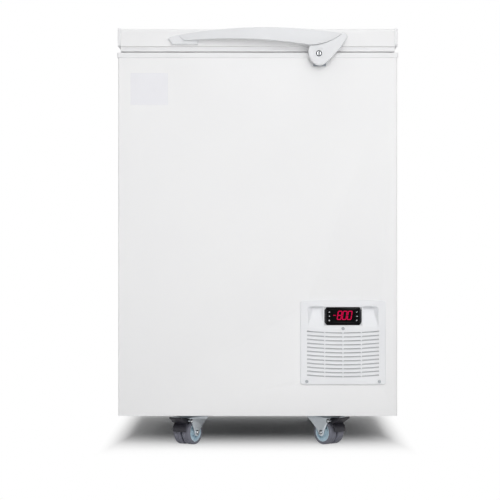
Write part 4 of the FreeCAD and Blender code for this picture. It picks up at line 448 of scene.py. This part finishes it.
def tyreProfile(half, radius):
    # rounded shoulders, and a fine groove along the middle of the tread
    rim, bead, groove = radius - wheel["tyreDepth"], wheel["tyreRound"], wheel["grooveHalf"]
    knee = bead * (1 - math.sqrt(0.5))  # the middle of the shoulder is this far in from both its faces
    return [(-half, rim), (half, rim), (half, radius - bead), (half - knee, radius - knee),
            (half - bead, radius), (groove, radius), (0, radius - wheel["grooveDepth"]), (-groove, radius),
            (bead - half, radius), (knee - half, radius - knee), (-half, radius - bead)]


def coreProfile(half, radius):
    # a hub and a lipped rim with a dished web between them
    rim = radius - wheel["tyreDepth"]
    inner = rim - wheel["rimWall"]
    web, lip = half - wheel["dish"], half - wheel["rimLip"]
    hub, draft = wheel["hubRadius"], wheel["dishDraft"]
    return [(-half, wheel["boreRadius"]), (half, wheel["boreRadius"]), (half, hub), (web, hub + draft),
            (web, inner - draft), (lip, inner), (lip, rim), (-half, rim)]


def twinWheel(tag):
    # both wheels of a caster: a tyre moulded round a dished core
    boxes = {side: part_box(f"caster_wheel_{tag}_{side}") for side in ("a", "b")}
    middle = sum((low + high for low, high in boxes.values()), Vector()) / 4
    for side, (low, high) in boxes.items():
        node = f"caster_wheel_{tag}_{side}"
        centre = (low + high) / 2
        radius = (high.z - low.z) / 2 / mm
        outward = (centre - middle).normalized()
        half = halfWidth(node, outward)
        seat = Matrix.Translation(centre) @ outward.to_track_quat("Z", "Y").to_matrix().to_4x4()
        tyre = latheRing(tyreProfile(half, radius), wheel["steps"])
        tyre.transform(seat)
        tyrePiece = keepPiece(tyre, f"tyre_{tag}_{side}", bodyOf[node], finish["caster_rubber"],
                              [node])
        roundEdges(tyrePiece, **wheelEdges)
        core = latheRing(coreProfile(half, radius), wheel["steps"])
        core.transform(seat)
        corePiece = keepPiece(core, f"wheel_core_{tag}_{side}", bodyOf[node], tyreCorePaintedLight)
        roundEdges(corePiece, **wheelEdges)


# the fork's face is looked for within "near" of the pin
rivet = {"radius": 3.0, "neck": 2.1, "height": 1.2, "washer": 4.3, "washerWall": 0.3, "steps": 32, "near": 9.0}


def addStub(bm, at, outward, wide, narrow, height):
    # a short cone that stands on a face and looks outward
    turn = outward.to_track_quat("Z", "Y").to_matrix().to_4x4()
    seat = Matrix.Translation(at + outward * height / 2 * mm) @ turn
    bmesh.ops.create_cone(bm, cap_ends=True, segments=rivet["steps"], radius1=wide * mm, radius2=narrow * mm,
                          depth=height * mm, matrix=seat)


def rivetPair(name, fork, through, axis):
    # the heads of a pin on both sides of a fork, each on a washer drawn black as painted shade round the head
    heads, washerShade = bmesh.new(), bmesh.new()
    for outward in (axis, -axis):
        spots = [vertex.co - through for vertex in frame["nodes"][fork].data.vertices]
        close = [spot.dot(outward) for spot in spots
                 if (spot - axis * spot.dot(axis)).length < rivet["near"] * mm]
        seat = through + outward * max(close)
        addStub(washerShade, seat, outward, rivet["washer"], rivet["washer"], rivet["washerWall"])
        addStub(heads, seat + outward * rivet["washerWall"] * mm, outward, rivet["radius"], rivet["neck"],
                rivet["height"])
    # the washers are flat black painted shade, the dark outline round each head
    keepPiece(washerShade, f"{name}_washers", bodyOf[fork], paintedShadeBlack, smooth=False)
    keepPiece(heads, f"{name}_heads", bodyOf[fork], finish["lock_chrome"], smooth=False)


def casterRivets(tag):
    # the axle of every caster, and the pivot of the pedal where there is a brake
    fork = f"caster_fork_{tag}"
    boxes = [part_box(f"caster_wheel_{tag}_{side}") for side in ("a", "b")]
    first, second = [(low + high) / 2 for low, high in boxes]
    axis = (first - second).normalized()
    rivetPair(f"axle_{tag}", fork, (first + second) / 2, axis)
    for joint in frame["joints"]:
        if joint["name"] == f"brake_{tag}":
            rivetPair(f"pivot_{tag}", fork, Vector(joint["pos_m"]), axis)


for tag in casters:
    twinWheel(tag)
    casterRivets(tag)
print("casters made")

label = {"left": -254.4, "right": -179.4, "low": 685.8, "high": 749.8, "wall": 0.35, "corner": 2.0,
         "cornerSteps": 5}


def labelPlate():
    # bare film plate on the front sheet
    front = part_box("outer_shell")[0].y / mm
    size = (label["right"] - label["left"], label["wall"], label["high"] - label["low"])
    middle = ((label["left"] + label["right"]) / 2, front - label["wall"] / 2,
              (label["low"] + label["high"]) / 2)
    bm = bmesh.new()
    bmesh.ops.create_cube(bm, size=1)
    bmesh.ops.scale(bm, vec=[s * mm for s in size], verts=bm.verts)
    corners = [edge for edge in bm.edges
               if abs(edge.verts[0].co.y - edge.verts[1].co.y) > label["wall"] / 2 * mm]
    bmesh.ops.bevel(bm, geom=corners, offset=label["corner"] * mm, affect="EDGES",
                    segments=label["cornerSteps"], profile=0.5, material=-1)
    bmesh.ops.translate(bm, vec=[m * mm for m in middle], verts=bm.verts)
    keepPiece(bm, "label_plate", "cabinet", labelFilm, smooth=False)


labelPlate()

digits = {"reading": "800", "height": 18.2, "width": 9.4, "pitch": 10.05, "stroke": 1.8, "gap": 0.2,
          "levelJoin": 0.3, "uprightJoin": 0.15, "slant": 9, "proud": 0.06, "wall": 0.12, "left": -6.9,
          "minus": -17.0, "minusWidth": 5.0, "minusTall": 1.4, "raise": 1.7}
# bars of a seven-bar digit: middle along X and Z as shares of the half size, and whether it is level
bars = {"top": (0, 1, True), "middle": (0, 0, True), "bottom": (0, -1, True), "upperLeft": (-1, 0.5, False),
        "upperRight": (1, 0.5, False), "lowerLeft": (-1, -0.5, False), "lowerRight": (1, -0.5, False)}
shown = {"8": list(bars), "0": [bar for bar in bars if bar != "middle"]}


def addOutline(bm, corners):
    # a flat face on the XZ plane
    bm.faces.new([bm.verts.new((x * mm, 0, z * mm)) for x, z in corners])


def addBar(bm, centreX, centreZ, reach, level):
    # one bar with pointed ends
    thick = digits["stroke"] / 2
    outline = [(-reach, 0), (thick - reach, -thick), (reach - thick, -thick), (reach, 0),
               (reach - thick, thick), (thick - reach, thick)]
    addOutline(bm, [(centreX + (along if level else -across), centreZ + (across if level else along))
                    for along, across in outline])


def raiseFaces(bm, wall):
    # gives flat faces a wall towards the front
    grown = bmesh.ops.extrude_face_region(bm, geom=bm.faces[:])
    moved = [item for item in grown["geom"] if isinstance(item, bmesh.types.BMVert)]
    bmesh.ops.translate(bm, vec=(0, -wall * mm, 0), verts=moved)
    bmesh.ops.recalc_face_normals(bm, faces=bm.faces)


def displayDigits():
    # a minus and the digits of the reading, which lean a little, in one mesh
    low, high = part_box("display_window")
    middle = (low + high) / 2
    bm = bmesh.new()
    halfWide = (digits["width"] - digits["stroke"]) / 2
    halfTall = (digits["height"] - digits["stroke"]) / 2
    thick, reach, minus = digits["minusTall"] / 2, digits["minusWidth"] / 2, digits["minus"]
    addOutline(bm, [(minus - reach, -thick), (minus + reach, -thick), (minus + reach, thick),
                    (minus - reach, thick)])
    reachLevel = halfWide + digits["levelJoin"] - digits["gap"]
    reachUpright = halfTall / 2 + digits["uprightJoin"] - digits["gap"]
    for place, sign in enumerate(digits["reading"]):
        shift = digits["left"] + digits["pitch"] * place
        for shareX, shareZ, level in (bars[bar] for bar in shown[sign]):
            reach = reachLevel if level else reachUpright
            addBar(bm, shift + shareX * halfWide, shareZ * halfTall, reach, level)
    raiseFaces(bm, digits["wall"])
    lean = Matrix.Identity(4)
    lean[0][2] = math.tan(math.radians(digits["slant"]))
    frontY = low.y + (digits["wall"] - digits["proud"]) * mm
    bm.transform(Matrix.Translation((middle.x, frontY, middle.z + digits["raise"] * mm)) @ lean)
    keepPiece(bm, "display_digits", "cabinet", ledRed, smooth=False)


displayDigits()

symbols = {"wall": 0.12, "proud": 0.05, "steps": 20}
# plain signs on the keys, from the middle of each key: outlines, and discs as (x, z, radius)
signs = {
    "key_left_upper": ([[(-1.7, -0.9), (0.5, -1.2), (1.7, 0.7), (-0.5, 1.1)]], []),
    "key_left_middle": ([], [(0, 0, 1.1)]),
    "key_left_lower": ([[(-1.9, -0.9), (1.9, -0.9), (0.9, 1.1), (-0.9, 1.1)]], [(0, -1.6, 0.4)]),
    "key_right_upper": ([[(-1.7, 0.1), (-0.9, 0.7), (-0.3, -0.1), (1.5, 1.5), (1.9, 0.9), (-0.3, -1.2)]], []),
    "key_right_middle": ([[(-1.7, -0.9), (1.5, -0.9), (1.5, 0.9)]], [(-0.9, 0.7, 0.45)]),
    "key_right_lower": ([[(-1.7, -1.5), (-1.2, -1.8), (-0.2, -0.7), (-0.7, -0.4)]], [(0.2, 0.2, 1.2)]),
}


def keySign(key, outlines, discs):
    # a printed sign that moves with its key
    low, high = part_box(key)
    bm = bmesh.new()
    for corners in outlines:
        addOutline(bm, corners)
    for x, z, radius in discs:
        seat = Matrix.Translation((x * mm, 0, z * mm)) @ Matrix.Rotation(math.pi / 2, 4, "X")
        bmesh.ops.create_circle(bm, cap_ends=True, segments=symbols["steps"], radius=radius * mm,
                                matrix=seat)
    raiseFaces(bm, symbols["wall"])
    frontY = low.y + (symbols["wall"] - symbols["proud"]) * mm
    bm.transform(Matrix.Translation(((low.x + high.x) / 2, frontY, (low.z + high.z) / 2)))
    keepPiece(bm, f"sign_{key}", bodyOf[key], printInk, smooth=False)


for key, (outlines, discs) in signs.items():
    keySign(key, outlines, discs)
print("display made")

# the solids that no piece replaces take the finish of their slot
for node, item in frame["nodes"].items():
    if item.hide_render:
        continue
    item.data.materials.clear()
    item.data.materials.append(finish[slotOf[node]])


# Floor, light and view
studio = {"floor": 60.0, "floorTone": 0.8, "floorSeen": 1.0, "fill": 0.34, "backdrop": 1.0,
          "shadeCentre": (0, -0.2, 0), "fadeAcross": (0.255, 0.318), "fadeAlong": (0.21, 0.66)}


def seenDirectly(tree):
    # 1 for what the camera sees straight, in a gloss or through a clear face
    rays = addNode(tree, "ShaderNodeLightPath")
    seen = addNode(tree, "ShaderNodeMath", {
        0: rays.outputs["Is Camera Ray"], 1: rays.outputs["Is Glossy Ray"]}, operation="MAXIMUM")
    seen = addNode(tree, "ShaderNodeMath", {
        0: seen.outputs[0], 1: rays.outputs["Is Transmission Ray"]}, operation="MAXIMUM")
    return seen.outputs[0]


def paleFloor():
    # plain pale floor that keeps the shadow under the cabinet and goes over into the white backdrop
    material = bpy.data.materials.new("painted_floor")
    tree = emptyTree(material)
    tone = addNode(tree, "ShaderNodeMix", {
        "Factor": seenDirectly(tree), "A": [studio["floorTone"]] * 3 + [1],
        "B": [studio["floorSeen"]] * 3 + [1]}, data_type="RGBA")
    matt = addNode(tree, "ShaderNodeBsdfDiffuse", {"Color": tone.outputs["Result"]})
    place = addNode(tree, "ShaderNodeTexCoord").outputs["Object"]
    moved = addNode(tree, "ShaderNodeVectorMath", {0: place, 1: studio["shadeCentre"]}, operation="ADD")
    away = addNode(tree, "ShaderNodeVectorMath", {0: moved.outputs["Vector"]}, operation="ABSOLUTE")
    reach = addNode(tree, "ShaderNodeSeparateXYZ", {"Vector": away.outputs["Vector"]})
    fades = [addNode(tree, "ShaderNodeMapRange", {
        "Value": reach.outputs[axis], "From Min": start, "From Max": end}, interpolation_type="SMOOTHSTEP")
        for axis, (start, end) in (("X", studio["fadeAcross"]), ("Y", studio["fadeAlong"]))]
    fade = addNode(tree, "ShaderNodeMath", {0: fades[0].outputs["Result"], 1: fades[1].outputs["Result"]},
                   operation="MAXIMUM")
    share = addNode(tree, "ShaderNodeMath", {0: fade.outputs[0], 1: seenDirectly(tree)}, operation="MULTIPLY")
    white = addNode(tree, "ShaderNodeEmission")
    mixed = addNode(tree, "ShaderNodeMixShader", {
        "Fac": share.outputs[0], 1: matt.outputs["BSDF"], 2: white.outputs["Emission"]})
    addNode(tree, "ShaderNodeOutputMaterial", {"Surface": mixed.outputs["Shader"]})
    bm = bmesh.new()
    bmesh.ops.create_grid(bm, x_segments=1, y_segments=1, size=studio["floor"] / 2)
    mesh = bpy.data.meshes.new("floor")
    bm.to_mesh(mesh)
    bm.free()
    floor = bpy.data.objects.new("floor", mesh)
    bpy.context.scene.collection.objects.link(floor)
    mesh.materials.append(material)


def whiteRoom():
    # even fill for the object, white for what is seen past it
    world = bpy.data.worlds.new("studio")
    bpy.context.scene.world = world
    tree = emptyTree(world)
    strength = addNode(tree, "ShaderNodeMapRange", {
        "Value": seenDirectly(tree), "To Min": studio["fill"], "To Max": studio["backdrop"]})
    back = addNode(tree, "ShaderNodeBackground", {
        "Color": linear("#FFFFFF"), "Strength": strength.outputs["Result"]})
    addNode(tree, "ShaderNodeOutputWorld", {"Surface": back.outputs["Background"]})


lamps = {
    "key_light": {"place": (1.2, -3.6, 2.6), "aim": (0, 0, 0.5), "size": 3.6, "power": 30},
    "front_light": {"place": (0.3, -2.6, 1.2), "aim": (0, 0, 0.5), "size": 1.0, "power": 19},
    "left_light": {"place": (-2.9, -2.3, 1.9), "aim": (0, 0, 0.4), "size": 2.0, "power": 10},
    "top_light": {"place": (0, 0, 3.4), "aim": (0, 0, 0), "size": 1.6, "power": 18},
    "back_light": {"place": (0.6, 3.9, 1.2), "aim": (0, 0.3, 0.5), "size": 1.6, "power": 20},
}


def areaLight(name, place, aim, size, power):
    data = bpy.data.lights.new(name, "AREA")
    data.shape = "SQUARE"
    data.size = size
    data.energy = power
    lamp = bpy.data.objects.new(name, data)
    bpy.context.scene.collection.objects.link(lamp)
    lamp.location = place
    lamp.rotation_euler = (Vector(aim) - Vector(place)).to_track_quat("-Z", "Y").to_euler()


# what lies straight ahead is "right" and "up" pixels from the middle of a picture "frame" pixels wide
view = {"distance": 4.0, "height": 0.45, "frontWidth": 1.0, "frame": 500, "right": 7.7, "up": 27.1}


def makeCamera():
    # level, straight at the front sheet, whose plane is one metre wide in the picture
    data = bpy.data.cameras.new("camera")
    camera = bpy.data.objects.new("camera", data)
    bpy.context.scene.collection.objects.link(camera)
    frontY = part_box("outer_shell")[0].y
    camera.location = (0, frontY - view["distance"], view["height"])
    camera.rotation_euler = (math.pi / 2, 0, 0)
    data.lens = data.sensor_width * view["distance"] / view["frontWidth"]
    data.shift_x = -view["right"] / view["frame"]
    data.shift_y = -view["up"] / view["frame"]
    bpy.context.scene.camera = camera


makeCamera()
paleFloor()
whiteRoom()
for name, lamp in lamps.items():
    areaLight(name, **lamp)
bpy.context.scene.view_settings.view_transform = "Standard"
print("studio made")
